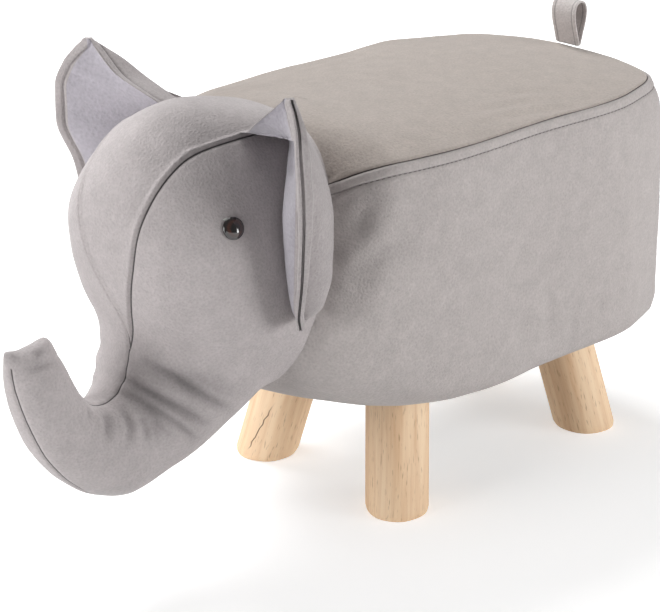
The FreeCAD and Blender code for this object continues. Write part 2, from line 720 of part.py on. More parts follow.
def make_ears(forms):
    """Both ears, moved out so that the hinge strip lies one seat gap off the head and seat."""
    strip = root_strip()
    shift = Vec(0, min(strip.distToShape(form)[0] for form in forms) - SEAT_GAP, 0)
    core = ear_core(COVER)
    pieces = {
        "front_panel": less(ear_half(True), [core, strip]),
        "rear_panel": less(ear_half(False), [core, strip]),
        "wadding": ear_core(COVER + SOFT_GAP).cut(strip),
        "root_strip": strip,
    }
    for name, shape in pieces.items():
        shape.translate(shift)
        save("ear_left_" + name, shape)
        save("ear_right_" + name, mirrored(shape))
    print("left ear hinge passes", HINGE_LOW + shift, HINGE_HIGH + shift)


def make_tail(rest):
    """The tail loop, lowered on to the rear of the seat to one seat gap."""
    loop = tail_loop()
    start = Vec(SEAT_REAR - TAIL_INSET, 0, SEAM_HEIGHT + TAIL_HEIGHT)
    loop.translate(start)
    drop = loop.distToShape(rest)[0] - SEAT_GAP
    loop.translate(Vec(0, 0, -drop))
    save("tail_loop", loop)
    print("tail hinge at", start - Vec(0, 0, drop))


make_frame()
seat_body = make_seat()
head_body = make_head()
make_ears([head_body, seat_body])
make_tail(seat_body)
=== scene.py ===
"""Stuffed elephant footstool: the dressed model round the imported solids.

Lengths are metres in the row frame: Z is up from the floor, the trunk points towards -X and the elephant's own
left side faces -Y. Tables of shares give each stuffed form, and folds are paths over the cloth in millimetres.
"""

import json
import logging
import math
from contextlib import contextmanager
from dataclasses import dataclass
from enum import Enum
from typing import Iterator

import bpy
import numpy as np
from mathutils import Matrix, Vector, noise
from mathutils.bvhtree import BVHTree


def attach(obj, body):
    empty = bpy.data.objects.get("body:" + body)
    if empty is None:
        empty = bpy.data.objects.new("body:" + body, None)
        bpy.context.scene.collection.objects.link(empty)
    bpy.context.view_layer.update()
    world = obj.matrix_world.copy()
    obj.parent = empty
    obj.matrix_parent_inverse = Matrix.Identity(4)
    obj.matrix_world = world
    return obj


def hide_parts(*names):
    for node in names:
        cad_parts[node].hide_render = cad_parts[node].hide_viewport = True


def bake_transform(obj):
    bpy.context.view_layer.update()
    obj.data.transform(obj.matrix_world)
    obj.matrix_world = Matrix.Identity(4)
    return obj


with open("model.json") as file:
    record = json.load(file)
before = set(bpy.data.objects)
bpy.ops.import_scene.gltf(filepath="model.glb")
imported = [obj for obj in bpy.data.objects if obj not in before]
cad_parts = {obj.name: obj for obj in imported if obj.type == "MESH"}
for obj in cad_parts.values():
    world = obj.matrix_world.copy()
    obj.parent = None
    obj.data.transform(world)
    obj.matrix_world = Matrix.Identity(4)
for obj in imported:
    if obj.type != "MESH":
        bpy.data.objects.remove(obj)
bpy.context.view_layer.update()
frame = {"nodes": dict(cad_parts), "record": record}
LOG = logging.getLogger("elephant_footstool")
MM = 0.001
SEAM_MARK = 10.0
CLOTH_FRAMES = 20
FACE_POINTS, NOSE_POINTS = 28, 11
Socket = bpy.types.NodeSocket


class Side(Enum):
    """The elephant's own sides, with the sign of Y on each."""

    LEFT = -1
    RIGHT = 1

    @property
    def word(self) -> str:
        """The side as the names of pieces have it."""
        return self.name.lower()


FREE_SPAN = {Side.LEFT: (0.755, 0.80), Side.RIGHT: (0.70, 0.88)}
HOOD_SPAN = {Side.LEFT: (0.744, 0.756), Side.RIGHT: (0.66, 0.80)}


class Body(Enum):
    """The bodies that the pieces ride on."""

    STOOL = "stool"
    LEFT_EAR = "left_ear"
    RIGHT_EAR = "right_ear"
    TAIL = "tail"


def linear(code: str) -> tuple[float, float, float, float]:
    """An sRGB hex colour as linear red, green, blue and alpha."""
    parts = [int(code[i:i + 2], 16) / 255 for i in (1, 3, 5)]
    return (*[p / 12.92 if p <= 0.04045 else ((p + 0.055) / 1.055) ** 2.4 for p in parts], 1.0)


def hermite(t: np.ndarray, ends: tuple, slopes: tuple, width: np.ndarray) -> np.ndarray:
    """A cubic curve between two ends with given slopes there, at shares t of its width."""
    return ((2 * t ** 3 - 3 * t ** 2 + 1) * ends[0] + (t ** 3 - 2 * t ** 2 + t) * width * slopes[0]
            + (3 * t ** 2 - 2 * t ** 3) * ends[1] + (t ** 3 - t ** 2) * width * slopes[1])


def smooth_through(points: np.ndarray, knots: np.ndarray, places: np.ndarray, closed: bool = False) -> np.ndarray:
    """Values on a smooth curve through rows of numbers.

    Args:
        points: one row of numbers per knot.
        knots: rising places of the rows; a closed curve has one more knot than rows.
        places: where the curve is read.
        closed: whether the last row runs on into the first.

    Returns:
        One row per place.
    """
    points, knots, places = (np.asarray(a, float) for a in (points, knots, places))
    if closed:
        places = knots[0] + np.mod(places - knots[0], knots[-1] - knots[0])
        points = np.concatenate([points[-2:], points, points[:3]])
        steps = np.diff(knots)
        knots = np.concatenate([knots[0] - np.cumsum(steps[::-1])[:2][::-1], knots, knots[-1] + np.cumsum(steps)[:2]])
    gap = np.diff(knots)[:, None]
    slope = np.diff(points, axis=0) / gap
    tangent = np.empty_like(points)
    tangent[1:-1] = (slope[1:] * gap[:-1] + slope[:-1] * gap[1:]) / (gap[1:] + gap[:-1])
    tangent[0], tangent[-1] = slope[0], slope[-1]
    at = np.clip(np.searchsorted(knots, places, side="right") - 1, 0, len(knots) - 2)
    width = gap[at]
    t = (places - knots[at])[:, None] / width
    return hermite(t, (points[at], points[at + 1]), (tangent[at], tangent[at + 1]), width)


def chord_knots(points: np.ndarray, closed: bool = False) -> np.ndarray:
    """Knots spaced as the points are."""
    points = np.asarray(points, float)
    if closed:
        points = np.concatenate([points, points[:1]])
    return np.concatenate([[0], np.cumsum(np.linalg.norm(np.diff(points, axis=0), axis=1))])


def even_places(points: np.ndarray, knots: np.ndarray, count: int, closed: bool = False) -> np.ndarray:
    """Places that divide a smooth curve through points into equal lengths."""
    fine = np.linspace(knots[0], knots[-1], 4000)
    length = chord_knots(smooth_through(points, knots, fine[:-1] if closed else fine, closed), closed)
    return np.interp(np.linspace(0, length[-1], count, endpoint=not closed), length, fine)


def bump(distance: np.ndarray, width: float) -> np.ndarray:
    """A soft hill that is 1 at distance 0 and fades over the width."""
    return np.exp(-(distance / width) ** 2)


def ease(value: np.ndarray, low: float, high: float) -> np.ndarray:
    """0 before low, 1 after high, and a soft step between them."""
    t = np.clip((value - low) / (high - low), 0, 1)
    return t * t * (3 - 2 * t)


def units(vectors: np.ndarray) -> np.ndarray:
    """The vectors at length one."""
    return vectors / np.maximum(np.linalg.norm(vectors, axis=-1, keepdims=True), 1e-12)


def along_path(points: np.ndarray, path: np.ndarray) -> tuple[np.ndarray, np.ndarray]:
    """Each point's distance from a path, and how far along the path it lies.

    Args:
        points: places in space.
        path: the corners of the path.

    Returns:
        Distances, and lengths along the path.
    """
    best = np.full(len(points), np.inf)
    along = np.zeros(len(points))
    start = 0.0
    for first, last in zip(path, path[1:]):
        run = last - first
        length = np.linalg.norm(run)
        t = np.clip((points - first) @ run / max(length, 1e-9) ** 2, 0, 1)
        distance = np.linalg.norm(points - first - t[:, None] * run, axis=1)
        nearer = distance < best
        best[nearer] = distance[nearer]
        along[nearer] = (start + t * length)[nearer]
        start += length
    return best, along


def fetch(items: bpy.types.bpy_prop_collection, name: str, width: int = 1, kind: type = float) -> np.ndarray:
    """One number, or one row of width numbers, for each item of a mesh."""
    flat = np.empty(len(items) * width, kind)
    items.foreach_get(name, flat)
    return flat.reshape(-1, width) if width > 1 else flat


def read(piece: bpy.types.Object) -> np.ndarray:
    """The places of a piece's points."""
    return fetch(piece.data.vertices, "co", 3)


def write(piece: bpy.types.Object, places: np.ndarray) -> None:
    """Moves a piece's points to new places."""
    piece.data.vertices.foreach_set("co", np.ascontiguousarray(places, float).ravel())
    piece.data.update()


def normals(piece: bpy.types.Object) -> np.ndarray:
    """The outward directions at a piece's points."""
    return fetch(piece.data.vertex_normals, "vector", 3, np.float32).astype(float)


def note(piece: bpy.types.Object, name: str, values: np.ndarray) -> None:
    """Keeps one number per point on the piece, for its material."""
    layer = piece.data.attributes.get(name) or piece.data.attributes.new(name, "FLOAT", "POINT")
    layer.data.foreach_set("value", np.ascontiguousarray(values, np.float32))


def table_row(table: tuple, place: float) -> np.ndarray:
    """The row of a table at a place between its rows, on a smooth curve that never overshoots them."""
    rows = np.array(table)
    knots, values = rows[:, 0], rows[:, 1:]
    slope = np.diff(values, axis=0) / np.diff(knots)[:, None]
    before, after = slope[:-1], slope[1:]
    agree = before * after > 0
    tangent = np.zeros_like(values)
    tangent[1:-1] = np.where(agree, 2 * before * after / np.where(agree, before + after, 1), 0)
    at = int(np.clip(np.searchsorted(knots, place, side="right") - 1, 0, len(knots) - 2))
    width = knots[at + 1] - knots[at]
    t = float(np.clip((place - knots[at]) / width, 0, 1))
    return hermite(t, values[at:at + 2], tangent[at:at + 2], width)


def note_seam(piece: bpy.types.Object, name: str, gap: np.ndarray) -> None:
    """Keeps the signed distance from a seam, in millimetres about the seam mark, for the cloth's material."""
    note(piece, name, SEAM_MARK + np.clip(gap / MM, -SEAM_MARK * 0.8, SEAM_MARK * 0.8))


def select_only(*pieces: bpy.types.Object) -> None:
    """Selects these pieces alone and makes the first active."""
    bpy.ops.object.select_all(action="DESELECT")
    for piece in pieces:
        piece.select_set(True)
    bpy.context.view_layer.objects.active = pieces[0]


@contextmanager
def editing(piece: bpy.types.Object) -> Iterator[None]:
    """Holds one piece in edit mode."""
    select_only(piece)
    bpy.ops.object.mode_set(mode="EDIT")
    yield
    bpy.ops.object.mode_set(mode="OBJECT")


def finish_modifier(piece: bpy.types.Object, kind: str, **settings) -> None:
    """Adds one modifier to a piece and applies it."""
    modifier = piece.modifiers.new(kind.title(), kind)
    for name, value in settings.items():
        setattr(modifier, name, value)
    select_only(piece)
    bpy.ops.object.modifier_apply(modifier=modifier.name)


def subdivide(piece: bpy.types.Object) -> None:
    """Rounds a piece by one level of subdivision."""
    finish_modifier(piece, "SUBSURF", levels=1, render_levels=1)


def make_piece(name: str, places: np.ndarray, faces: list) -> bpy.types.Object:
    """A mesh object from points and faces, shaded smooth."""
    mesh = bpy.data.meshes.new(name)
    mesh.from_pydata([tuple(p) for p in places], [], [tuple(int(i) for i in f) for f in faces])
    mesh.update()
    piece = bpy.data.objects.new(name, mesh)
    bpy.context.scene.collection.objects.link(piece)
    mesh.polygons.foreach_set("use_smooth", [True] * len(mesh.polygons))
    return piece


def grid_faces(rows: int, columns: int) -> list[tuple[int, ...]]:
    """Faces between the rows of a grid whose columns run round."""
    faces = []
    for start in range(0, (rows - 1) * columns, columns):
        for column in range(columns):
            here, after = start + column, start + (column + 1) % columns
            faces.append((here, after, after + columns, here + columns))
    return faces


def ring_faces(rows: int, columns: int) -> list[tuple[int, ...]]:
    """Faces of a closed form through rings, with one face over each end."""
    ends = [tuple(range(columns))[::-1], tuple(range((rows - 1) * columns, rows * columns))]
    return grid_faces(rows, columns) + ends


def mend_mesh(piece: bpy.types.Object, gap: float = 1e-5) -> None:
    """Merges points that meet and turns all faces outwards."""
    with editing(piece):
        bpy.ops.mesh.select_all(action="SELECT")
        bpy.ops.mesh.remove_doubles(threshold=gap)
        bpy.ops.mesh.normals_make_consistent(inside=False)


def ring_form(name: str, rings: np.ndarray) -> bpy.types.Object:
    """A closed form through rings of points."""
    piece = make_piece(name, rings.reshape(-1, 3), ring_faces(*rings.shape[:2]))
    mend_mesh(piece)
    return piece


def stuff(piece: bpy.types.Object, pins: np.ndarray, pressure: float, cap: float) -> None:
    """Lets the cloth of a stuffed form settle under the filling's pressure, held at its seams.

    Args:
        piece: the form; its points keep their count.
        pins: how firmly each point is held, from 0 to 1.
        pressure: of the filling.
        cap: the most that a point may travel.
    """
    start, outward = read(piece), normals(piece)
    group = piece.vertex_groups.new(name="seams")
    for index in np.nonzero(pins > 0.01)[0]:
        group.add([int(index)], float(pins[index]), "REPLACE")
    cloth = piece.modifiers.new("Cloth", "CLOTH")
    settings = cloth.settings
    settings.quality = 6
    settings.mass = 0.012
    settings.use_pressure = True
    settings.uniform_pressure_force = pressure
    settings.vertex_group_mass = group.name
    settings.tension_stiffness = settings.compression_stiffness = 12
    settings.shear_stiffness = 6
    settings.bending_stiffness = 0.6
    settings.effector_weights.gravity = 0
    cloth.collision_settings.use_collision = False
    cloth.point_cache.frame_start, cloth.point_cache.frame_end = 1, CLOTH_FRAMES
    for step in range(1, CLOTH_FRAMES + 1):
        bpy.context.scene.frame_set(step)
    select_only(piece)
    bpy.ops.object.modifier_apply(modifier=cloth.name)
    bpy.context.scene.frame_set(1)
    piece.vertex_groups.clear()
    travel = read(piece) - start
    free = 1 - pins
    swell = np.einsum("ij,ij->i", travel, outward)
    mean = float((swell * free).sum() / max(free.sum(), 1e-9))
    travel -= outward * (mean * free)[:, None]
    length = np.linalg.norm(travel, axis=1, keepdims=True)
    travel *= np.minimum(1, cap / np.maximum(length, 1e-9))
    write(piece, start + travel)
    LOG.info("%s settled: mean swell %.1f mm, most travel %.1f mm", piece.name, mean / MM, length.max() / MM)


def refine_near(piece: bpy.types.Object, gap: np.ndarray, reach: float) -> None:
    """Divides the faces of a piece that lie within reach of a seam."""
    mesh = piece.data
    near = (gap < reach)[fetch(mesh.loops, "vertex_index", kind=int)]
    starts, sizes = (fetch(mesh.polygons, name, kind=int) for name in ("loop_start", "loop_total"))
    with editing(piece):
        bpy.ops.mesh.select_mode(type="FACE")
        bpy.ops.mesh.select_all(action="DESELECT")
    mesh.polygons.foreach_set("select", np.add.reduceat(near, starts) == sizes)
    with editing(piece):
        bpy.ops.mesh.subdivide(number_cuts=1, smoothness=0.0)


def rumple(places: np.ndarray, size: float, seed: float) -> np.ndarray:
    """A gentle unevenness of stuffed cloth at each place, between about -1 and 1."""
    return np.array([noise.noise(Vector(p) / size + Vector((seed, 0, 0))) for p in places])


@dataclass(frozen=True)
class Fold:
    """A fold or crease of the cloth along a path, in millimetres, with the painted shade that darkens its valley."""

    path: tuple
    depth: float
    width: float
    lip: float = 0.5
    shade: float = 0.0

    def hills(self, places: np.ndarray) -> tuple[np.ndarray, np.ndarray]:
        """How much each place belongs to the fold's valley and to the swellings beside it."""
        path = np.array(self.path, float) * MM
        path = np.array([places[np.argmin(((places - corner) ** 2).sum(axis=1))] for corner in path])
        knots = chord_knots(path)
        path = smooth_through(path, knots, np.linspace(0, knots[-1], 14))
        distance, along = along_path(places, path)
        share = along / max(knots[-1], 1e-9)
        fade = np.clip(np.sin(np.pi * np.clip(0.04 + 0.92 * share, 0, 1)), 0, 1) ** 0.7
        width = self.width * MM
        return bump(distance, width) * fade, bump(distance - 1.9 * width, width * 0.9) * fade

    def lift(self, places: np.ndarray) -> np.ndarray:
        """How far the fold moves each place outwards."""
        valley, ridge = self.hills(places)
        return (ridge * self.lip - valley) * self.depth * MM

    def mirrored(self, strength: float = 0.8) -> "Fold":
        """The fold on the other side, a little weaker."""
        return Fold(tuple((x, -y, z) for x, y, z in self.path), self.depth * strength, self.width * 1.1, self.lip,
                    self.shade * strength)


def note_painted_shade(piece: bpy.types.Object, places: np.ndarray, folds: tuple, far: float) -> None:
    """Keeps the painted shade that darkens the valleys of a piece's folds, on both sides of it."""
    shade = np.zeros(len(places))
    for fold in folds:
        if fold.shade:
            shade += fold.shade * (fold.hills(places)[0] + far * fold.mirrored().hills(places)[0])
    note(piece, "shade", np.clip(shade, 0, 0.7))


@dataclass(frozen=True)
class Nodes:
    """The node tree of a material or world, which each call adds to."""

    tree: bpy.types.NodeTree

    @classmethod
    def of(cls, owner: bpy.types.Material | bpy.types.World) -> "Nodes":
        """The emptied node tree of a material or world."""
        owner.use_nodes = True
        owner.node_tree.nodes.clear()
        return cls(owner.node_tree)

    def add(self, kind: str, inputs: dict | None = None, out: int | str = 0, **settings) -> Socket | None:
        """Adds one node with its settings and links.

        Args:
            kind: the node's type, without its leading ShaderNode.
            inputs: a number, a colour or another node's output for each input, by its name or place.
            out: the name or place of the wanted output.
            settings: values of the node itself.

        Returns:
            The wanted output, or None where the node has none.
        """
        made = self.tree.nodes.new("ShaderNode" + kind)
        for name, value in settings.items():
            setattr(made, name, value)
        for key, value in (inputs or {}).items():
            if isinstance(value, Socket):
                self.tree.links.new(value, made.inputs[key])
            else:
                made.inputs[key].default_value = value
        return made.outputs[out] if len(made.outputs) else None

    def maths(self, operation: str, *values: Socket | float) -> Socket:
        """One operation on numbers."""
        return self.add("Math", dict(enumerate(values)), operation=operation)

    def times(self, product: Socket, *others: Socket) -> Socket:
        """The product of two or more numbers."""
        for other in others:
            product = self.maths("MULTIPLY", product, other)
        return product

    def remap(self, value: Socket, low: float = 0.0, high: float = 1.0, least: float = 0.0, most: float = 1.0,
              curve: str = "LINEAR") -> Socket:
        """A value carried over from the span low to high to the span least to most."""
        return self.add("MapRange", {"Value": value, "From Min": low, "From Max": high, "To Min": least,
                                     "To Max": most}, interpolation_type=curve)

    def noise(self, place: Socket, scale: float, detail: float, roughness: float = 0.5,
              distortion: float = 0.0) -> Socket:
        """Smooth noise at a place."""
        return self.add("TexNoise", {"Vector": place, "Scale": scale, "Detail": detail, "Roughness": roughness,
                                     "Distortion": distortion}, "Fac")

    def noted(self, name: str, out: str = "Fac") -> Socket:
        """What a piece keeps on its points under a name."""
        return self.add("Attribute", out=out, attribute_name=name)

    def line_gap(self, name: str) -> Socket:
        """The distance from a seam or crack that a piece notes, in millimetres."""
        return self.maths("ABSOLUTE", self.maths("SUBTRACT", self.noted(name), SEAM_MARK))

    def mixed(self, share: Socket | float, first: Socket | tuple, last: Socket | tuple, blend: str = "MIX") -> Socket:
        """Two colours, mixed by a share or multiplied."""
        return self.add("Mix", {"Factor": share, 6: first, 7: last}, 2, data_type="RGBA", blend_type=blend)

    def relief(self, height: Socket, strength: float, distance: float) -> Socket:
        """The direction of a surface with small bumps."""
        return self.add("Bump", {"Strength": strength, "Distance": distance, "Height": height})

    def seen(self, other: str) -> Socket:
        """1 for a ray of the camera or of another kind, and otherwise 0."""
        camera = self.add("LightPath", out="Is Camera Ray")
        return self.maths("MAXIMUM", camera, camera.node.outputs[other])


@dataclass(frozen=True)
class Finish:
    """One finish of the footstool."""

    name: str

    def inputs(self, nodes: Nodes) -> dict:
        """What the principled shader takes, each value a number, a colour or an output."""
        raise NotImplementedError

    def material(self) -> bpy.types.Material:
        """The finish as a material."""
        material = bpy.data.materials.new(self.name)
        nodes = Nodes.of(material)
        nodes.add("OutputMaterial", {"Surface": nodes.add("BsdfPrincipled", self.inputs(nodes))})
        return material


@dataclass(frozen=True)
class Suede(Finish):
    """Brushed polyester microfibre: matt, finely pebbled, with a soft nap of uneven tone, and painted shade in its seam
    grooves and folds.
    """

    colour: str
    pebble: float = 1.5 * MM
    nap: float = 14 * MM

    def inputs(self, nodes: Nodes) -> dict:
        """The cloth, with painted shade in its seam grooves and folds where the piece notes them."""
        def seam(name: str, reach: float, least: float) -> Socket:
            """A value that falls to least along a noted seam, over a reach in millimetres: painted shade in the seam's
            groove.
            """
            return nodes.remap(nodes.line_gap(name), 0.25, reach, least, 1.0, "SMOOTHSTEP")

        place = nodes.add("TexCoord", out="Object")
        grain = nodes.noise(place, 1 / self.pebble, 3.0, 0.55)
        cells = nodes.add("TexVoronoi", {"Vector": place, "Scale": 0.8 / self.pebble, "Smoothness": 0.6}, "Distance",
                          feature="SMOOTH_F1")
        nap = nodes.noise(place, 1 / self.nap, 4.0, 0.6, 0.4)
        relief = nodes.maths("MULTIPLY_ADD", cells, 0.7, grain)
        # Uneven tone of the nap, times the painted shade that a piece notes in its folds and over its panels.
        nap_and_painted_shade = nodes.times(nodes.remap(nap, 0.3, 0.7, 0.93, 1.05),
                              nodes.maths("SUBTRACT", 1.0, nodes.noted("shade")))
        # Painted shade: the colour darkens in the grooves of the seams, the topstitching and the trunk's middle seam.
        centre = nodes.add("Mix", {0: nodes.noted("centre_sewn"), 2: 1.0, 3: seam("centre_seam", 0.9, 0.20)},
                           data_type="FLOAT")
        seams = nodes.times(seam("seam", 1.0, 0.16), seam("second_seam", 0.9, 0.62), centre)
        value = nodes.times(nodes.remap(relief, 0.45, 1.25, 0.88, 1.09), nap_and_painted_shade, seams)
        return {"Base Color": nodes.mixed(1.0, linear(self.colour), value, "MULTIPLY"),
                "Roughness": nodes.remap(nap, least=0.78, most=0.92), "Normal": nodes.relief(relief, 0.75, 0.5 * MM),
                "Sheen Weight": 0.22, "Sheen Roughness": 0.45, "Specular IOR Level": 0.25}


@dataclass(frozen=True)
class SandedWood(Finish):
    """Debarked hevea stick, sanded and left raw: pale honey colour with fine pores and darker growth lines."""

    name: str = "sanded_hevea_wood"
    pale: str = "#F6D9B6"
    dark: str = "#D9AC82"
    pore: str = "#9A6E48"
    crack: str = "#5A3822"

    def inputs(self, nodes: Nodes) -> dict:
        """The wood, whose grain follows the place noted in each stick's own frame."""
        place = nodes.noted("stick_place", "Vector")
        streaks, bands, flecks = (nodes.add("Mapping", {"Vector": place, "Scale": scale})
                                  for scale in ((170, 170, 7), (60, 60, 9), (900, 900, 110)))
        grain = nodes.noise(streaks, 1.0, 5.0, 0.62, 0.5)
        figure = nodes.remap(nodes.noise(bands, 1.0, 2.0, distortion=1.3), 0.3, 0.7, 0.0, 0.45)
        pores = nodes.remap(nodes.noise(flecks, 1.0, 1.0), 0.62, 0.75, 0.0, 0.5)
        colour = nodes.mixed(nodes.remap(grain, 0.35, 0.75), linear(self.pale), linear(self.dark))
        colour = nodes.mixed(pores, nodes.mixed(figure, colour, linear(self.pale)), linear(self.pore))
        split = nodes.times(nodes.remap(nodes.line_gap("crack"), 0.2, 0.7, 1.0, 0.0), nodes.noted("crack_reach"))
        return {"Base Color": nodes.mixed(split, colour, linear(self.crack)),
                "Normal": nodes.relief(grain, 0.35, 0.3 * MM), "Roughness": 0.62}


@dataclass(frozen=True)
class Plain(Finish):
    """One of the small finishes: a base colour broken up by fine speckle, with its own gloss."""

    colour: str
    roughness: float
    metallic: float = 0.0
    coat: float = 0.0
    speckle: float = 0.8 * MM
    depth: float = 0.08

    def inputs(self, nodes: Nodes) -> dict:
        """The speckled colour, with bumps unless the finish is polished."""
        speck = nodes.noise(nodes.add("TexCoord", out="Object"), 1 / self.speckle, 3.0)
        value = nodes.remap(speck, least=1 - self.depth, most=1 + self.depth)
        found = {"Base Color": nodes.mixed(1.0, linear(self.colour), value, "MULTIPLY"),
                 "Roughness": self.roughness, "Metallic": self.metallic, "Coat Weight": self.coat}
        if self.depth:
            found["Normal"] = nodes.relief(speck, self.depth, 0.2 * MM)
        return found


@dataclass(frozen=True)
class EyeGloss(Finish):
    """Moulded acrylic: a black pupil in a deep brown iris, under a clear glossy dome with a dark rim."""

    name: str = "moulded_acrylic_iris"
    bands: tuple = ((0.42, "#0B0605"), (1.0, "#120A08"), (0.50, "#33180F"), (0.68, "#3E1F13"), (0.78, "#1C0E0A"),
                    (0.86, "#0E0807"))

    def inputs(self, nodes: Nodes) -> dict:
        """The gloss, coloured by the distance from the eye's middle."""
        colour = nodes.add("ValToRGB", {"Fac": nodes.noted("spoke")}, "Color")
        ramp = colour.node.color_ramp.elements
        for index, (place, code) in enumerate(self.bands):
            band = ramp[index] if index < 2 else ramp.new(place)
            band.position, band.color = place, linear(code)
        return {"Base Color": colour, "Roughness": 0.12, "Coat Weight": 1.0, "Coat Roughness": 0.04}


class Finishes:
    """All finishes of the footstool, made once."""

    def __init__(self) -> None:
        """Builds each material."""
        self.top = Suede("brushed_suede_top", "#B2A8A1").material()
        self.side = Suede("brushed_suede_side", "#B6AFAD").material()
        self.head = Suede("brushed_suede_head", "#B5AEAE").material()
        self.inner_ear = Suede("brushed_suede_inner_ear", "#BDB8C0", pebble=2.0 * MM, nap=22 * MM).material()
        # The strap's suede is paler than the other panels as painted light, brightening the strap where it faces away
        # from the lamps.
        self.strap = Suede("brushed_suede_strap_painted_light", "#CBC4C2").material()
        self.thread = Plain("spun_polyester_thread", "#5F5957", 0.7, speckle=0.3 * MM).material()
        self.wood = SandedWood().material()
        self.eye = EyeGloss().material()
        plain = {
            "plywood": Plain("raw_birch_plywood", "#C9A77C", 0.75, speckle=2 * MM, depth=0.12),
            "pine": Plain("raw_pine", "#D6B582", 0.75, speckle=3 * MM, depth=0.12),
            "zinc_steel": Plain("zinc_plated_steel", "#C4C6C8", 0.35, metallic=1.0),
            "dust_cloth": Plain("spunbond_dust_cloth", "#1C1C1E", 0.95, speckle=0.6 * MM, depth=0.25),
            "foam": Plain("polyurethane_foam", "#E6DDB8", 0.95, speckle=1 * MM, depth=0.15),
            "fibre_filling": Plain("polyester_fibre", "#F2F2EE", 1.0, speckle=2 * MM, depth=0.2),
            "eye": Plain("moulded_acrylic", "#120B09", 0.08, coat=1.0, depth=0.0),
            "washer": Plain("moulded_polyethylene", "#E2E2DE", 0.5),
        }
        self.cad = {slot: finish.material() for slot, finish in plain.items()}


def dress(piece: bpy.types.Object, material: bpy.types.Material, body: Body) -> None:
    """Gives a finished piece its material, body and slot."""
    piece.data.materials.clear()
    piece.data.materials.append(material)
    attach(piece, body.value)
    LOG.info("%s: %d faces on %s", piece.name, len(piece.data.polygons), body.value)


# Where a fold names a last number, it is painted shade that darkens the fold's valley.
SEAT_FOLDS = (
    Fold(((-56.8, -105.5, 270.7), (-62, -102, 260), (-69.5, -98.5, 249.8)), 2, 7, shade=0.1),
    Fold(((-36, -118, 242.5), (-59.6, -111.6, 230.4), (-74.6, -101.9, 212.2)), 2.4, 8, shade=0.12),
    Fold(((-36.1, -118.3, 226), (-60.4, -112.6, 209.7), (-78.5, -100.8, 194.7)), 1.4, 8),
    Fold(((115.6, -123.2, 168.2), (120.1, -122.8, 138.1), (117.5, -122.1, 113.7)), 0.7, 5),
    Fold(((146.1, -124.3, 147.7), (147.6, -123.2, 126.1), (147.6, -120.2, 104.1)), 0.8, 5),
    Fold(((177.4, -125.9, 139.4), (180.1, -124.9, 117.2)), 0.6, 5),
    Fold(((90.6, -123.4, 154.8), (84, -123.3, 128.1)), 0.6, 6),
    Fold(((50, -82, 305.6), (101.8, -82.8, 303.9), (155.8, -95.6, 301.4)), 0.6, 5),
    Fold(((52.1, -97.9, 302.6), (113.7, -102.1, 300.9), (165.1, -117.3, 299.4)), 0.6, 5),
    Fold(((97, -67, 306.1), (144.8, -75, 304.1), (174.8, -89.4, 302.4)), 0.5, 5),
)
HEAD_FOLDS = (
    Fold(((-196, -23.6, 168), (-191.5, -36.4, 162.3), (-179.7, -49, 151.1), (-163.8, -57, 137.9),
          (-150.3, -57.5, 127.6)), 3, 3.8, shade=0.42),
    Fold(((-204.6, -4.7, 152.5), (-201.2, -25.6, 148.9), (-192.1, -41.4, 139.5), (-176.7, -50.1, 127.4),
          (-167.1, -51.7, 119.4)), 3, 3.6, shade=0.42),
    Fold(((-210.4, -9.2, 145), (-205, -24.5, 142.8), (-195.6, -39.9, 132.5), (-182.8, -46, 118.8),
          (-173.5, -45.7, 107.8)), 2.4, 3.4, shade=0.36),
    Fold(((-186.8, -41.6, 163.2), (-176.6, -50.9, 158.4), (-164.3, -57.9, 150.7), (-149.3, -62, 141.1)), 1.6, 6,
         shade=0.18),
    Fold(((-211.1, -18.5, 140.5), (-203.1, -32.6, 134.8), (-199.2, -38.4, 125.4), (-191.5, -41.8, 112.4)), 1.8, 3.8,
         shade=0.26),
    Fold(((-244.7, -16, 145.8), (-247.2, -20.8, 139)), 1, 2.8, shade=0.16),
    Fold(((-230.7, -14.8, 137.9), (-233.1, -21.7, 130.9), (-238.6, -25.7, 122.6)), 1.2, 3, shade=0.24),
    Fold(((-217.9, -19.9, 135.4), (-217, -27.1, 127.5), (-221.8, -30.2, 117)), 1.2, 3, shade=0.24),
    Fold(((-209.1, -26.8, 134.8), (-207.8, -33.4, 124.3), (-208.2, -35.6, 114.3)), 1.2, 3, shade=0.24),
    Fold(((-204, -33.5, 130.8), (-202, -37.3, 122.1), (-201.5, -38.4, 113)), 1, 2.8, shade=0.2),
    Fold(((-275.4, -6.7, 195.7), (-282.8, -9.4, 192.8)), 1.5, 2.6, shade=0.2),
    Fold(((-290.7, -10.5, 188.2), (-282.7, -12.2, 187.8), (-272.4, -12.1, 187.6)), 1.1, 2.6, shade=0.15),
    Fold(((-290.4, -3.3, 197.7), (-298.6, -4.8, 193.2)), 1, 2.4, shade=0.15),
    # A broad, shallow fold whose painted shade darkens the trunk's bend.
    Fold(((-203, -12, 165), (-190, -45, 150), (-170, -55, 128)), 0.4, 17, shade=0.16),
)
EAR_FOLDS = (
    Fold(((-139, -96, 341), (-138, -104, 336), (-141, -114, 331)), 1.2, 3),
    Fold(((-133, -80, 333), (-136, -94, 328), (-141, -108, 322)), 1, 4),
    Fold(((-118, -90, 318), (-128, -104, 314), (-138, -116, 318)), 1.4, 4),
)


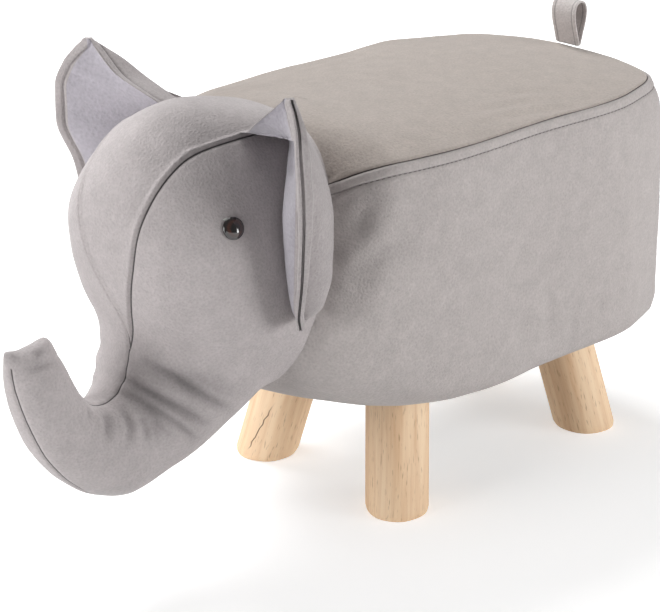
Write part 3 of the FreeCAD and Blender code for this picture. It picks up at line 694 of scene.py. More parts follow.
@dataclass
class SeatBody:
    """The upholstered seat: a side band and a crowned top, sewn together along a topstitched seam.

    A level holds its share of the height, its rear inset, its front reach and its width. The plan holds places from
    the rear to the front with the half width there. A station holds its place from the rear, the width of the crown
    there and its rise.
    """

    bottom: float = 0.096
    seam_height: float = 0.298
    rear: float = 0.303
    length: float = 0.453
    half_width: float = 0.1225
    crown: float = 0.012
    hem: float = 0.023
    shoulder: float = 0.030
    crown_reach: float = 0.96
    least_crown: float = 0.0006
    sag_place: tuple = (0.250, 0.100)
    sag_width: float = 0.055
    sag: float = 4.5 * MM
    stitch_drop: float = 8.4 * MM
    cage_step: float = 0.0055
    cage_columns: int = 220
    columns: int = 440
    levels: tuple = (
        (0, 0.03, 0.775, 0.92), (0.02, 0.017, 0.803, 0.962), (0.06, 0.008, 0.845, 0.987),
        (0.15, 0.003, 0.92, 0.998), (0.33, 0.0005, 0.985, 1.005), (0.58, 0, 1, 1.003),
        (0.8, 0.006, 0.991, 0.995), (0.93, 0.021, 0.967, 0.977), (1, 0.044, 0.934, 0.955))
    plan: tuple = (
        (0, 0), (0.008, 0.42), (0.052, 0.82), (0.163, 0.985), (0.43, 1), (0.71, 0.985),
        (0.81, 0.91), (0.88, 0.78), (1, 0))
    stations: tuple = (
        (0.044, 0.4, 0.08), (0.07, 0.69, 0.25), (0.115, 0.87, 0.45), (0.19, 0.95, 0.65),
        (0.42, 0.96, 0.95), (0.6, 0.955, 1.25), (0.68, 0.945, 1.5), (0.757, 0.87, 1.8),
        (0.816, 0.76, 2.05), (0.85, 0.69, 2.3))

    def ring(self, share: float, inset: float) -> np.ndarray:
        """The plan's outline at a share of the height, drawn in by inset."""
        levels, half = np.array(self.levels), np.array(self.plan)
        rear_inset, front_reach, width = smooth_through(levels[:, 1:], levels[:, 0], np.array([share]))[0]
        control = np.concatenate([half * (1, -1), half[1:-1][::-1]])
        real = control * (self.length, self.half_width)
        knots = chord_knots(real, closed=True)
        places = even_places(real, knots, self.cage_columns, closed=True)
        outline = smooth_through(control, knots, places, closed=True)
        rear = self.rear - rear_inset * self.length - inset
        front = self.rear - front_reach * self.length + inset
        x = rear + (front - rear) * outline[:, 0]
        y = (width * self.half_width - inset) * outline[:, 1]
        return np.stack([x, y, np.full(len(x), self.bottom + share * (self.seam_height - self.bottom))], axis=1)

    def crest(self, x: np.ndarray, y: np.ndarray) -> np.ndarray:
        """The crowned top's height above the seam at places."""
        stations = np.array(self.stations)
        share = np.clip((self.rear - x) / self.length, stations[0, 0], stations[-1, 0])
        width, rise = smooth_through(stations[:, 1:], stations[:, 0], share).T
        across = np.abs(y) / np.maximum(width * self.half_width, 1e-6)
        return np.maximum(rise * self.crown, self.least_crown) * np.clip(1 - across ** 2, 0, 1)

    def cage(self) -> tuple[np.ndarray, np.ndarray]:
        """Grid rows from the hem under the seat, up the side and in to the middle of the top.

        Returns:
            The grid of points and each row's place along the profile, with 0 at the seam.
        """
        side, reach = self.seam_height - self.bottom, self.half_width * self.crown_reach
        hems = [self.hem, self.hem * 0.6, self.hem * 0.25]
        heights = np.linspace(0, 1, int(side / self.cage_step) + 1)
        grid = [self.ring(0, inset) for inset in hems] + [self.ring(height, 0) for height in heights]
        place = [-side - inset for inset in hems] + list(-(1 - heights) * side)
        rim = grid[-1]
        centre = np.clip(rim[:, 0], rim[:, 0].min() + 0.10, rim[:, 0].max() - 0.10)
        steps = int(reach / self.cage_step)
        for share in np.arange(1, steps + 1) / steps:
            x = rim[:, 0] + (centre - rim[:, 0]) * share
            y = rim[:, 1] * (1 - share)
            grid.append(np.stack([x, y, self.seam_height + self.crest(x, y)], axis=1))
            place.append(share * reach)
        return np.array(grid), np.array(place)

    def meet_head(self, places: np.ndarray, head: "HeadBody") -> np.ndarray:
        """Draws the seat's shoulders in to the head's root along the sloping neck."""
        ahead, across, level = head.neck_frame(places)
        outside = (across ** head.power + level ** head.power) ** (1 / head.power)
        t = np.clip((ahead + self.shoulder) / self.shoulder, 0, 1)
        pull = 1 - np.sqrt(1 - t ** 2 * 0.9999)
        wanted = outside + (np.minimum(outside, 0.985) - outside) * pull
        scale = wanted / np.maximum(outside, 1e-6)
        return head.scaled_in_neck(places, scale, np.minimum(ahead, 0.004 + 0.02 * np.maximum(ahead, 0)))

    def build(self, finishes: Finishes, head: "HeadBody") -> None:
        """Makes the cover, lets it settle, and sews it."""
        grid, place = self.cage()
        rows, columns = grid.shape[:2]
        points = self.meet_head(grid.reshape(-1, 3), head)
        cage = make_piece("seat_cover", points, grid_faces(rows, columns))
        along = np.repeat(place, columns)
        pins = np.maximum(bump(along, 0.006), ease(head.neck_frame(points)[0], -0.012, 0.0))
        pins = np.where(along < -(self.seam_height - self.bottom) + 0.006, 1.0, pins)
        pins = np.maximum(pins, 0.35 * (along > 0))
        stuff(cage, np.clip(pins, 0, 1), 3.0, 0.007)
        settled = read(cage).reshape(rows, columns, 3)
        bpy.data.objects.remove(cage)
        self.sew(*self.refine(settled, place), finishes, head)

    def refine(self, cage: np.ndarray, place: np.ndarray) -> tuple[np.ndarray, np.ndarray]:
        """The settled cage as a fine grid that is closest at the seam, and its rows' places."""
        near = np.array([0, .5, 1, 1.6, 2.4, 3.4, 4.6, 5.8, 6.8, 7.5, 8.0, 8.5, 9.0, 9.6, 10.4, 11.6, 13.4, 16]) * MM
        rows = np.concatenate([np.linspace(place[0], -0.019, 56), -near[::-1], near[1:13],
                               np.linspace(0.011, place[-1], 34)])
        tall = smooth_through(cage.reshape(len(place), -1), place, rows).reshape(len(rows), -1, 3)
        around = tall.shape[1]
        wide = smooth_through(tall.transpose(1, 0, 2).reshape(around, -1), np.arange(around + 1),
                              np.arange(self.columns) * around / self.columns, closed=True)
        return wide.reshape(self.columns, len(rows), 3).transpose(1, 0, 2), rows

    def sew(self, grid: np.ndarray, rows: np.ndarray, finishes: Finishes, head: "HeadBody") -> None:
        """Makes the fine cover with its seam, band, folds and stitches."""
        columns, drop = self.columns, self.stitch_drop
        cover = make_piece("seat_cover", grid.reshape(-1, 3), grid_faces(len(rows), columns))
        places, outward = read(cover), normals(cover)
        probe = int(len(rows) * 0.3) * columns
        if outward[probe] @ (places[probe] - places.mean(0)) < 0:
            outward = -outward
        gap = np.repeat(rows, columns)
        band = ease(-gap, 0.8 * MM, 2.2 * MM) * (1 - ease(-gap, 7.4 * MM, 9.2 * MM))
        lift = -1.6 * MM * bump(gap, 1.3 * MM) + 0.9 * MM * band - 0.7 * MM * bump(gap + drop, 0.9 * MM)
        lift += 0.3 * MM * bump(gap - 6 * MM, 5 * MM) * (gap > 0)
        lift += 0.8 * MM * rumple(places, 0.060, 1.3) + 0.3 * MM * rumple(places, 0.020, 5.2)
        for fold in SEAT_FOLDS:
            lift += fold.lift(places) + fold.mirrored(0.6).lift(places)
        corner = np.linalg.norm(places[:, :2] - self.sag_place, axis=1)
        places[:, 2] -= self.sag * bump(corner, self.sag_width) * ease(places[:, 2], 0.25, 0.29)
        inside = ease(head.neck_frame(places)[0], -0.003, 0.001)
        write(cover, places + outward * (lift * (1 - inside))[:, None])
        # Painted shade in the valleys of the seat's folds, for the material.
        note_painted_shade(cover, places, SEAT_FOLDS, 0.5)
        # The seam and the topstitching groove get painted shade in the material from these distances.
        note_seam(cover, "seam", gap)
        note_seam(cover, "second_seam", gap + drop)
        for material in (finishes.side, finishes.top):
            cover.data.materials.append(material)
        seam_row = int(np.argmin(np.abs(rows)))
        tops = [int(index // columns >= seam_row) for index in range(len(cover.data.polygons))]
        cover.data.polygons.foreach_set("material_index", tops)
        stitch_row = int(np.argmin(np.abs(rows + drop)))
        path, away = (values.reshape(len(rows), columns, 3)[stitch_row] for values in (read(cover), outward))
        mend_mesh(cover, 2e-5)
        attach(cover, Body.STOOL.value)
        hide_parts("side_panel", "top_panel", "seat_foam", "side_foam")
        shown = head.neck_frame(path)[0] < -0.006
        first = int(np.argmax(~shown & np.roll(shown, -1))) + 1
        order = (np.arange(columns) + first) % columns
        order = order[shown[order]]
        thread = stitch_line("seat_topstitching", path[order], away[order])
        dress(thread, finishes.thread, Body.STOOL)


@dataclass
class HeadBody:
    """The stuffed head and trunk: two cheeks with their trunk halves and a gusset over the forehead.

    A ring holds its top and its bottom, as shares of the head's depth and height, then its width, where it is widest
    and how square it is above that. A trunk ring holds its inner point, its outer point and its width. The gusset
    holds its width at shares of its length. The mouth holds the trunk's turned corners: place, lift and width.
    """

    neck_top: tuple = (-0.0580041, 0.0, 0.320)
    neck_bottom: tuple = (-0.1080069, 0.0, 0.120)
    half_width: float = 0.087
    depth: float = 0.153
    top: float = 0.341
    power: float = 2.5
    rings: tuple = (
        ((0.24, 0.965), (0.35, 0.02), 1, 0.5, 2.15), ((0.47, 1), (0.47, 0.02), 0.99, 0.52, 1.85),
        ((0.68, 0.985), (0.62, 0.07), 0.94, 0.55, 1.7), ((0.85, 0.91), (0.78, 0.17), 0.82, 0.57, 1.7),
        ((0.955, 0.81), (0.91, 0.32), 0.62, 0.57, 1.75), ((0.995, 0.72), (0.98, 0.48), 0.36, 0.55, 1.9),
        ((1, 0.63), (1, 0.57), 0.1, 0.5, 2.1))
    trunk_root: float = -0.092
    trunk_reach: float = 0.212
    trunk_low: float = 0.060
    trunk_fall: float = 0.180
    trunk_half_width: float = 0.074
    trunk_belly: float = 0.46
    trunk_power: float = 2.1
    voxel: float = 0.0034
    fillet_rounds: int = 40
    centre_seam_top: float = 0.1885
    mouth_height: float = 0.197
    mouth: tuple = ((-0.3015, 3.2, 5.0), (-0.2660, 3.6, 6.0), (-0.2850, -1.6, 6.0))
    trunk_rings: tuple = (
        ((0.02, 0.97), (0.09, 0.36), 1), ((0.2, 0.98), (0.2, 0.235), 0.93),
        ((0.38, 0.9), (0.325, 0.115), 0.77), ((0.475, 0.73), (0.45, 0.048), 0.59),
        ((0.515, 0.545), (0.58, 0.02), 0.49), ((0.58, 0.455), (0.7, 0.075), 0.42),
        ((0.655, 0.455), (0.805, 0.18), 0.36), ((0.705, 0.515), (0.885, 0.305), 0.33),
        ((0.743, 0.595), (0.943, 0.45), 0.3), ((0.775, 0.685), (0.98, 0.605), 0.25),
        ((0.803, 0.765), (1, 0.775), 0.09))
    gusset_length: float = 0.168
    gusset_half_width: float = 0.064
    gusset: tuple = (
        (0, 0), (0.116, 0.073), (0.249, 0.211), (0.402, 0.38), (0.539, 0.475), (0.649, 0.545), (0.743, 0.59),
        (0.805, 0.614), (0.838, 0.63), (0.858, 0.648), (0.872, 0.674), (0.886, 0.717), (0.95, 0.8),
        (1.05, 0.9), (1.2, 1))

    def axes(self) -> tuple[np.ndarray, np.ndarray, np.ndarray, float]:
        """The neck's foot, its upward and forward directions and its height."""
        low, high = np.array(self.neck_bottom), np.array(self.neck_top)
        height = float(np.linalg.norm(high - low))
        up = (high - low) / height
        return low, up, np.array([-up[2], 0.0, up[0]]), height

    def neck_frame(self, places: np.ndarray) -> tuple[np.ndarray, np.ndarray, np.ndarray]:
        """Distance ahead of the neck plane, and shares of the neck oval's width and height."""
        low, up, forward, height = self.axes()
        level = np.abs((places - low) @ up - height / 2) / (height / 2)
        return (places - low) @ forward, np.abs(places[:, 1]) / self.half_width, level

    def scaled_in_neck(self, places: np.ndarray, scale: np.ndarray, ahead: np.ndarray) -> np.ndarray:
        """Places scaled about the neck's middle line, at new distances ahead of the neck plane."""
        low, up, forward, height = self.axes()
        rise = height / 2 + ((places - low) @ up - height / 2) * scale
        moved = low + rise[:, None] * up + ahead[:, None] * forward
        moved[:, 1] = places[:, 1] * scale
        return moved

    def oval(self, low: np.ndarray, high: np.ndarray, half_width: float, belly: float, crown: float, power: float,
             count: int = 72) -> np.ndarray:
        """A full oval in the plane of Y and the line from low to high, with its own roundness above the middle."""
        turn = np.linspace(0, 2 * np.pi, count, endpoint=False)
        middle = low + (high - low) * belly
        across, along = np.cos(turn), np.sin(turn)
        power = np.where(along > 0, crown, power)
        lift = np.sign(along) * np.abs(along) ** (2 / power)
        ring = middle + np.where(lift[:, None] > 0, high - middle, middle - low) * lift[:, None]
        ring[:, 1] = np.sign(across) * np.abs(across) ** (2 / power) * half_width
        return ring

    def swept(self, name: str, spans: list, half_width: float, power: float, rows: int) -> bpy.types.Object:
        """A closed form through ovals given by low point, high point, width share, belly share and roundness."""
        table = np.array([(*low, *high, *shares) for low, high, *shares in spans])
        knots = chord_knots(table[:, :6])
        smooth = smooth_through(table, knots, even_places(table[:, :6], knots, rows))
        return ring_form(name, np.array([self.oval(row[:3], row[3:6], half_width * max(row[6], 0.05), row[7], row[8],
                                                   power) for row in smooth]))

    def form(self) -> bpy.types.Object:
        """Head and trunk as one closed form, remeshed and filleted where they join."""
        low, up, forward, _ = self.axes()
        high, back, inset = np.array(self.neck_top), forward * 0.010, up * 0.008
        chin = self.neck_bottom[2]
        spans = [(low - back + inset, high - back - inset, 0.92, 0.5, self.power), (low, high, 0.995, 0.5, self.power)]
        for top, bottom, *shares in self.rings:
            ends = [np.array([self.neck_top[0] - self.depth * x, 0, chin + (self.top - chin) * z])
                    for x, z in (bottom, top)]
            spans.append((*ends, *shares))
        head = self.swept("head_cover", spans, self.half_width, self.power, 60)
        spans = []
        for inner, outer, width in self.trunk_rings:
            ends = [np.array([self.trunk_root - self.trunk_reach * x, 0, self.trunk_low + self.trunk_fall * z])
                    for x, z in (outer, inner)]
            spans.append((*ends, width, self.trunk_belly, self.trunk_power))
        trunk = self.swept("trunk", spans, self.trunk_half_width, self.trunk_power, 90)
        select_only(head, trunk)
        bpy.ops.object.join()
        finish_modifier(head, "REMESH", mode="VOXEL", voxel_size=self.voxel, use_smooth_shade=True)
        self.fillet(head)
        return head

    def fillet(self, piece: bpy.types.Object) -> None:
        """Fills the hollows of a form, most where the trunk leaves the face, and leaves its swellings alone."""
        first, last = fetch(piece.data.edges, "vertices", 2, int).T
        places = read(piece)
        count = np.bincount(first, minlength=len(places)) + np.bincount(last, minlength=len(places))
        for _ in range(self.fillet_rounds):
            total = [np.bincount(first, column[last], len(column)) + np.bincount(last, column[first], len(column))
                     for column in places.T]
            pull = np.stack(total, axis=1) / count[:, None] - places
            write(piece, places)
            outward = normals(piece)
            rise = np.einsum("ij,ij->i", pull, outward)
            weight = ease(places[:, 0], -0.262, -0.225) * (1 - 0.55 * bump(places[:, 1], 0.022))
            places = places + outward * (np.maximum(rise, 0) * weight * 0.9)[:, None] + pull * 0.10
        write(piece, places)

    def gusset_gap(self, places: np.ndarray, outward: np.ndarray) -> np.ndarray:
        """Signed distance over the cloth from the gusset's seams: positive on the gusset, negative on the cheek."""
        def width(rise: np.ndarray) -> np.ndarray:
            """The gusset's share of its full width at shares of its length."""
            return smooth_through(table[:, 1:], table[:, 0], np.clip(rise, 0, 1.2))[:, 0]

        table = np.array(self.gusset)
        tip, step = self.top - self.gusset_length, 0.01
        rise = np.clip((places[:, 2] - tip) / self.gusset_length, 0, 1.2)
        share = width(rise)
        slope = (width(rise + step) - share) / step * self.gusset_half_width / self.gusset_length
        across = places[:, 1] + 0.005 * (1 - ease(places[:, 2], 0.180, 0.260))
        gap = share * self.gusset_half_width - np.abs(across)
        gap = np.where(places[:, 2] < tip, -np.hypot(across, places[:, 2] - tip), gap)
        way = units(np.stack([np.zeros(len(places)), -np.sign(across), slope], axis=1))
        along = np.einsum("ij,ij->i", way, outward)
        flat = gap / np.hypot(1, slope) / np.sqrt(np.maximum(1 - along ** 2, 0.05))
        return np.where(places[:, 0] < self.neck_top[0] - self.depth - 0.014, -0.05, flat)

    def measure(self, head: bpy.types.Object) -> tuple[np.ndarray, ...]:
        """The cover's places and outward directions, the gaps to its seams, and where the middle one is sewn."""
        places, outward = read(head), normals(head)
        gusset = self.gusset_gap(places, outward)
        offset = 0.001 + 0.008 * ease(-places[:, 0], 0.10, 0.25) * (1 - 0.6 * ease(places[:, 2], 0.12, 0.20))
        return places, outward, gusset, places[:, 1] + offset, (places[:, 2] < self.centre_seam_top) & (gusset < -0.001)

    def build(self, finishes: Finishes) -> bpy.types.Object:
        """Makes the cover, lets it settle, and sews it."""
        head = self.form()
        places, _, gusset, centre, sewn = self.measure(head)
        pins = np.maximum(bump(gusset, 0.004), 0.8 * bump(centre, 0.004) * sewn)
        pins = np.maximum(pins, 1 - ease(self.neck_frame(places)[0], 0.002, 0.014))
        stuff(head, np.clip(pins, 0, 1), 3.0, 0.006)
        self.pinch_tip(head)
        subdivide(head)
        _, _, gusset, centre, sewn = self.measure(head)
        refine_near(head, np.minimum(np.abs(gusset), np.where(sewn, np.abs(centre), 0.02)), 0.0045)
        self.sew(head, finishes)
        return head

    def pinch_tip(self, head: bpy.types.Object) -> None:
        """Draws the two corners of the trunk's mouth out, as the turned cloth does."""
        places = read(head)
        for x, lift, width in self.mouth:
            near = bump(np.hypot(places[:, 0] - x, places[:, 2] - self.mouth_height), width * MM)
            places[:, 2] += lift * MM * near
        write(head, places)

    def sew(self, head: bpy.types.Object, finishes: Finishes) -> None:
        """Presses in the seams and folds."""
        places, outward, gusset, centre, sewn = self.measure(head)
        ahead = self.neck_frame(places)[0]
        lift = -1.5 * MM * bump(gusset, 1.5 * MM) + 1.1 * MM * bump(gusset - 2.9 * MM, 1.6 * MM)
        lift += -1.1 * MM * bump(centre, 1.5 * MM) * sewn
        lift += 0.7 * MM * rumple(places, 0.045, 3.1) + 0.3 * MM * rumple(places, 0.016, 7.7)
        for fold in HEAD_FOLDS:
            lift += fold.lift(places) + fold.mirrored(0.3).lift(places)
        write(head, places + outward * (lift * ease(ahead, 0.0, 0.004))[:, None])
        # Painted shade in the valleys of the head's folds, for the material.
        note_painted_shade(head, places, HEAD_FOLDS, 0.4)
        # The gusset seams, the trunk's middle seam and the neck line get painted shade in the material from these
        # distances.
        for name, gap in (("seam", gusset), ("centre_seam", centre), ("second_seam", ahead)):
            note_seam(head, name, gap)
        note(head, "centre_sewn", sewn)
        head.data.polygons.foreach_set("use_smooth", [True] * len(head.data.polygons))
        head.data.update()
        dress(head, finishes.head, Body.STOOL)
        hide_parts("cheek_left", "cheek_right", "forehead_gusset", "head_filling", "trunk_filling")


def stitch_line(name: str, path: np.ndarray, away: np.ndarray, pitch: float = 0.0042, length: float = 0.0030,
                thick: float = 0.00042) -> bpy.types.Object:
    """A row of thread stitches laid along a path.

    Args:
        name: of the piece.
        path: places on the cloth.
        away: outward directions there.
        pitch: from one stitch to the next.
        length: of one stitch.
        thick: half the thread's thickness.

    Returns:
        One mesh that holds all stitches.
    """
    knots = chord_knots(path)
    middles = np.arange(pitch / 2, knots[-1], pitch)
    place = smooth_through(path, knots, middles)
    ahead = units(smooth_through(path, knots, np.minimum(middles + 0.0005, knots[-1])) - place)
    up = units(smooth_through(away, knots, middles))
    side = units(np.cross(up, ahead))
    turns = np.linspace(0, 2 * np.pi, 6, endpoint=False)
    sections = ((-0.5, 0.15, -0.9), (-0.32, 0.9, 0.1), (0.32, 0.9, 0.1), (0.5, 0.15, -0.9))
    one = ring_faces(len(sections), len(turns))
    points, faces = [], []
    for here, run, out, across in zip(place, ahead, up, side):
        faces += [tuple(index + len(points) for index in face) for face in one]
        for along, size, drop in sections:
            centre = here + run * along * length + out * thick * drop
            points += [centre + (across * math.cos(t) + out * math.sin(t)) * thick * size for t in turns]
    piece = make_piece(name, np.array(points), faces)
    mend_mesh(piece)
    return piece


@dataclass
class Ear:
    """One stuffed ear: two faces sewn edge to edge, topstitched inside the hem and folded over at the top.

    All tables run up the ear. The edge holds the hem's forward and outward shares, and the rise how high the hem
    stands. The roots hold where the front and the rear panel meet the cheek, how much lower the rear one does, and
    how far each panel swells. The open roots are those of the right ear, which stands further open at the top. The
    crest holds how far out both panels end above the fold. The hems hold the slot and the thickness of the front and
    the rear panel, in millimetres.
    """

    side: Side
    top: float = 0.3645
    height: float = 0.1725
    rear: float = -0.094
    inner: float = 0.060
    forward: float = 0.050
    outward: float = 0.074
    shift: float = 0.00028
    puff: float = 0.0165
    hem_width: float = 0.0070
    fold: float = 0.748
    hinge: tuple = (-0.1029957, -0.0937163, 0.215)
    swing: tuple = (-0.45, -0.89, 0.0)
    edge: tuple = (
        (0, 0.56, 0.56), (0.08, 0.7, 0.635), (0.25, 0.82, 0.762), (0.45, 0.9, 0.845), (0.63, 1.06, 0.958),
        (0.79, 1.07, 0.935), (0.89, 0.99, 0.857), (0.96, 0.9, 0.74), (1, 0.85, 0.66))
    rise: tuple = (
        (0, 0), (0.25, 0.25), (0.45, 0.465), (0.63, 0.69), (0.72, 0.825), (0.748, 0.868), (0.8, 0.897),
        (0.89, 0.94), (0.96, 0.975), (1, 1))
    roots: tuple = (
        (0, 0.22, 0.13, 0, 0.05, 0.3), (0.08, 0.27, 0.13, 0, 0.2, 0.75),
        (0.25, 0.32, 0.13, 0, 0.44, 1.1), (0.45, 0.26, 0.08, 0, 0.54, 1.12),
        (0.63, 0.02, -0.16, 0, 0.26, 0.78), (0.7, -0.18, -0.34, 0, -0.05, 0.45),
        (0.74, -0.26, -0.4, 0, -0.15, 0.24), (0.75, 0.45, -0.4, 0, 0, 0.2),
        (0.8, 0.74, -0.02, -0.006, 0.1, 0.2), (0.89, 0.94, 0.34, -0.003, 0.15, 0.2),
        (0.96, 0.9, 0.64, 0, 0.12, 0.18), (1, 0.86, 0.77, 0, 0.1, 0.1))
    open_roots: tuple = (
        (0.63, 0.02, -0.1), (0.7, 0.3, -0.08), (0.75, 0.48, -0.04), (0.8, 0.62, 0.08), (0.89, 0.8, 0.34),
        (0.96, 0.83, 0.64), (1, 0.84, 0.77))
    crest: tuple = (
        (0.748, -0.165, -0.1), (0.8, 0.01, 0.1), (0.89, 0.31, 0.3), (0.96, 0.5, 0.5), (1, 0.57, 0.6))
    hems: tuple = (
        (0, 0.4, 2.3, 2.4), (0.25, 0.6, 2.4, 3.2), (0.45, 0.9, 2.4, 4.6), (0.63, 1.1, 2.5, 5.8),
        (0.79, 1.1, 2.5, 6), (0.89, 0.9, 2.3, 4.6), (1, 0.5, 1.9, 2.5))

    def level(self, share: float) -> float:
        """The height at a share of the ear's own height."""
        return self.top - self.height * (1 - share)

    def place(self, shares: np.ndarray, height: float) -> np.ndarray:
        """A place of the left ear from its forward and outward shares."""
        return np.array([self.rear - self.forward * shares[0], self.shift - self.inner - self.outward * shares[1],
                         height])

    def face(self, start: np.ndarray, end: np.ndarray, way: np.ndarray, swell: float) -> np.ndarray:
        """One face of the section: a flat hem, then a puffed or hollow middle, to the root."""
        hem = min(self.hem_width / np.linalg.norm(end - start), 0.42)
        share = np.concatenate([np.linspace(0, hem, 7), np.linspace(hem, 1, FACE_POINTS - 6)[1:]])
        rise = np.clip((share - hem * 0.8) / (1 - hem * 0.8), 0, 1)
        belly = np.sqrt(np.clip(1 - (2 * rise - 1) ** 2, 0, 1)) * 0.6 + 0.4 * 4 * rise * (1 - rise)
        return start + (end - start) * share[:, None] + way * (swell * belly)[:, None]

    def on_head(self, share: float, height: float, cover: BVHTree) -> np.ndarray:
        """A place just under the cheek's cloth, at a forward share and a height."""
        x = self.rear - self.forward * share
        hit = cover.ray_cast(Vector((x, -0.3, height)), Vector((0, 1, 0)))[0]
        return np.array([x, (hit.y if hit else -0.05) + 0.003, height])

    def corners(self, up: float, cover: BVHTree) -> tuple[np.ndarray, np.ndarray, np.ndarray]:
        """Where one level has its hem, its front root or front edge, and its rear root."""
        front, rear, drop = table_row(self.roots, up)[:3]
        if self.side is Side.RIGHT and up > self.open_roots[0][0]:
            front, rear = table_row(self.open_roots, up)
        fore, aft = table_row(self.crest, max(up, self.fold))
        share = float(table_row(self.rise, up)[0])
        edge = self.place(table_row(self.edge, share), self.level(share))
        return edge, self.root(front, fore, up, 0.0, cover), self.root(rear, aft, up, drop, cover)

    def root(self, share: float, above: float, up: float, drop: float, cover: BVHTree) -> np.ndarray:
        """A root's place: under the cheek's cloth low down, and clear of the head above the fold."""
        height, free = self.level(up) + drop, ease(up, *FREE_SPAN[self.side])
        foot = self.on_head(share, min(height, self.level(self.fold)), cover)
        foot[2] = height
        return foot * (1 - free) + self.place((share, above), height) * free

    def section(self, up: float, cover: BVHTree) -> np.ndarray:
        """The closed outline of the left ear at one level: rear face, hem, front face, front edge and back."""
        front_swell, rear_swell = table_row(self.roots, up)[3:]
        slot, fore, aft = table_row(self.hems, float(table_row(self.rise, up)[0])) * MM
        edge, front, rear = self.corners(up, cover)
        inward = units((front + rear) / 2 - edge)
        way = units(np.array([-inward[1], inward[0], 0.0]))
        flat, hood = ease(up, 0.02, 0.10), ease(up, *HOOD_SPAN[self.side])
        back, reach = units(rear - front), np.linalg.norm(rear - front)
        hollow = reach * 0.12 * (1 - ease(up, 0.93, 0.99))
        behind = self.face(edge - way * (slot + aft) + inward * 0.0022, rear, -way, self.puff * rear_swell * flat)
        before = self.face(edge + way * (slot + fore) + inward * 0.0012, front, way,
                           self.puff * front_swell * flat * (1 - hood) - hollow * hood)
        nose = [(-slot - aft, 0.6), (-slot - aft * 0.6, -0.7), (-slot - aft * 0.2, -1.0), (-slot, 0.0),
                (-slot * 0.6, 1.1), (0, 1.5), (slot * 0.6, 1.1), (slot, 0.0), (slot + fore * 0.3, -1.1),
                (slot + fore * 0.75, -0.9), (slot + fore, 0.1)]
        nose = [edge + way * across + inward * deep * MM for across, deep in nose]
        out = units(front - (edge + rear) / 2)
        fit = min(1, reach / 0.012)
        marks = np.concatenate([np.array([0.5, 1.1, 1.7, 2.3, 2.9, 3.6]) * MM * fit,
                                np.linspace(0.36, 0.97, 12) * reach])
        rims = np.array([1.6, 1.3, 0.1, 1.4, 1.5, 0.6] + [0.0] * 12) * hood * fit * MM
        mound = 4 * (marks / reach) * (1 - marks / reach) * 0.10 * reach * hood
        side = way * np.sign((way @ out) or 1)
        joint = front + back * marks[:, None] + out * rims[:, None] + side * mound[:, None]
        return np.concatenate([behind[::-1], nose, before, joint])

    def body(self, rings: np.ndarray) -> bpy.types.Object:
        """The closed cushion, with the front panel as its second material."""
        rows, columns = rings.shape[:2]
        ear = make_piece(f"{self.side.word}_ear_cushion", rings.reshape(-1, 3), ring_faces(rows, columns))
        start = FACE_POINTS + NOSE_POINTS
        panel = [start + 6 <= index % columns < start + FACE_POINTS - 1 and index // columns > 2
                 for index in range((rows - 1) * columns)]
        ear.data.polygons.foreach_set("material_index", [int(p) for p in panel] + [0, 0])
        note(ear, "flank", np.tile(np.arange(columns) >= start + FACE_POINTS, rows))
        mend_mesh(ear)
        return ear

    def build(self, finishes: Finishes, cover: BVHTree) -> None:
        """Makes the ear, hems it and joins it to the head."""
        left = self.side is Side.LEFT
        ups = np.concatenate([np.linspace(0.016, 0.68, 42), np.linspace(0.68, 0.735, 7)[1:],
                              np.linspace(0.738, 0.762, 9), np.linspace(0.762, 1.0, 30)[1:]])
        ear = self.body(np.array([self.section(up, cover) for up in ups]))
        corners = np.array([self.corners(up, cover) for up in ups])
        foot = corners[0]
        path = np.concatenate([[foot[2], (foot[2] + foot[0]) / 2], corners[:, 0]])
        for material in (finishes.head, finishes.inner_ear):
            ear.data.materials.append(material)
        subdivide(ear)
        places, outward = read(ear), normals(ear)
        outer, front = (along_path(places, line)[0] for line in (path, corners[ups > 0.752][:, 1]))
        flank = fetch(ear.data.attributes["flank"].data, "value", kind=np.float32)
        gap = np.where(flank > 0.5, np.minimum(outer, front), outer)
        lift = -0.9 * MM * bump(gap - self.hem_width, 1.0 * MM) + 0.3 * MM * (1 - ease(gap, 0.0050, 0.0065))
        lift += 0.5 * MM * rumple(places, 0.018, 2.4)
        for fold in EAR_FOLDS if left else ():
            lift += fold.lift(places)
        write(ear, places + outward * (lift * ease(gap, 0.002, 0.005))[:, None])
        inside = np.zeros(len(places))
        for polygon in ear.data.polygons:
            if polygon.material_index:
                inside[list(polygon.vertices)] = 1
        # Painted shade: the whole left ear is darkened, most on its front panel, and the right ear's front panel a
        # little.
        note(ear, "shade", 0.14 + 0.18 * inside if left else 0.10 * inside)
        # The topstitching groove and the hem's slot get painted shade in the material from these distances.
        note_seam(ear, "second_seam", gap - self.hem_width)
        note_seam(ear, "seam", np.where(outer < 0.004, np.maximum(outer - 0.0004, 0), 0.008))
        if not left:
            write(ear, read(ear) * (1, -1, 1))
            ear.data.flip_normals()
        prefix = f"ear_{self.side.word}_"
        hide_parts(*(prefix + part for part in ("front_panel", "rear_panel", "wadding", "root_strip")))
        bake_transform(ear)
        LOG.info("%s: %d faces", ear.name, len(ear.data.polygons))


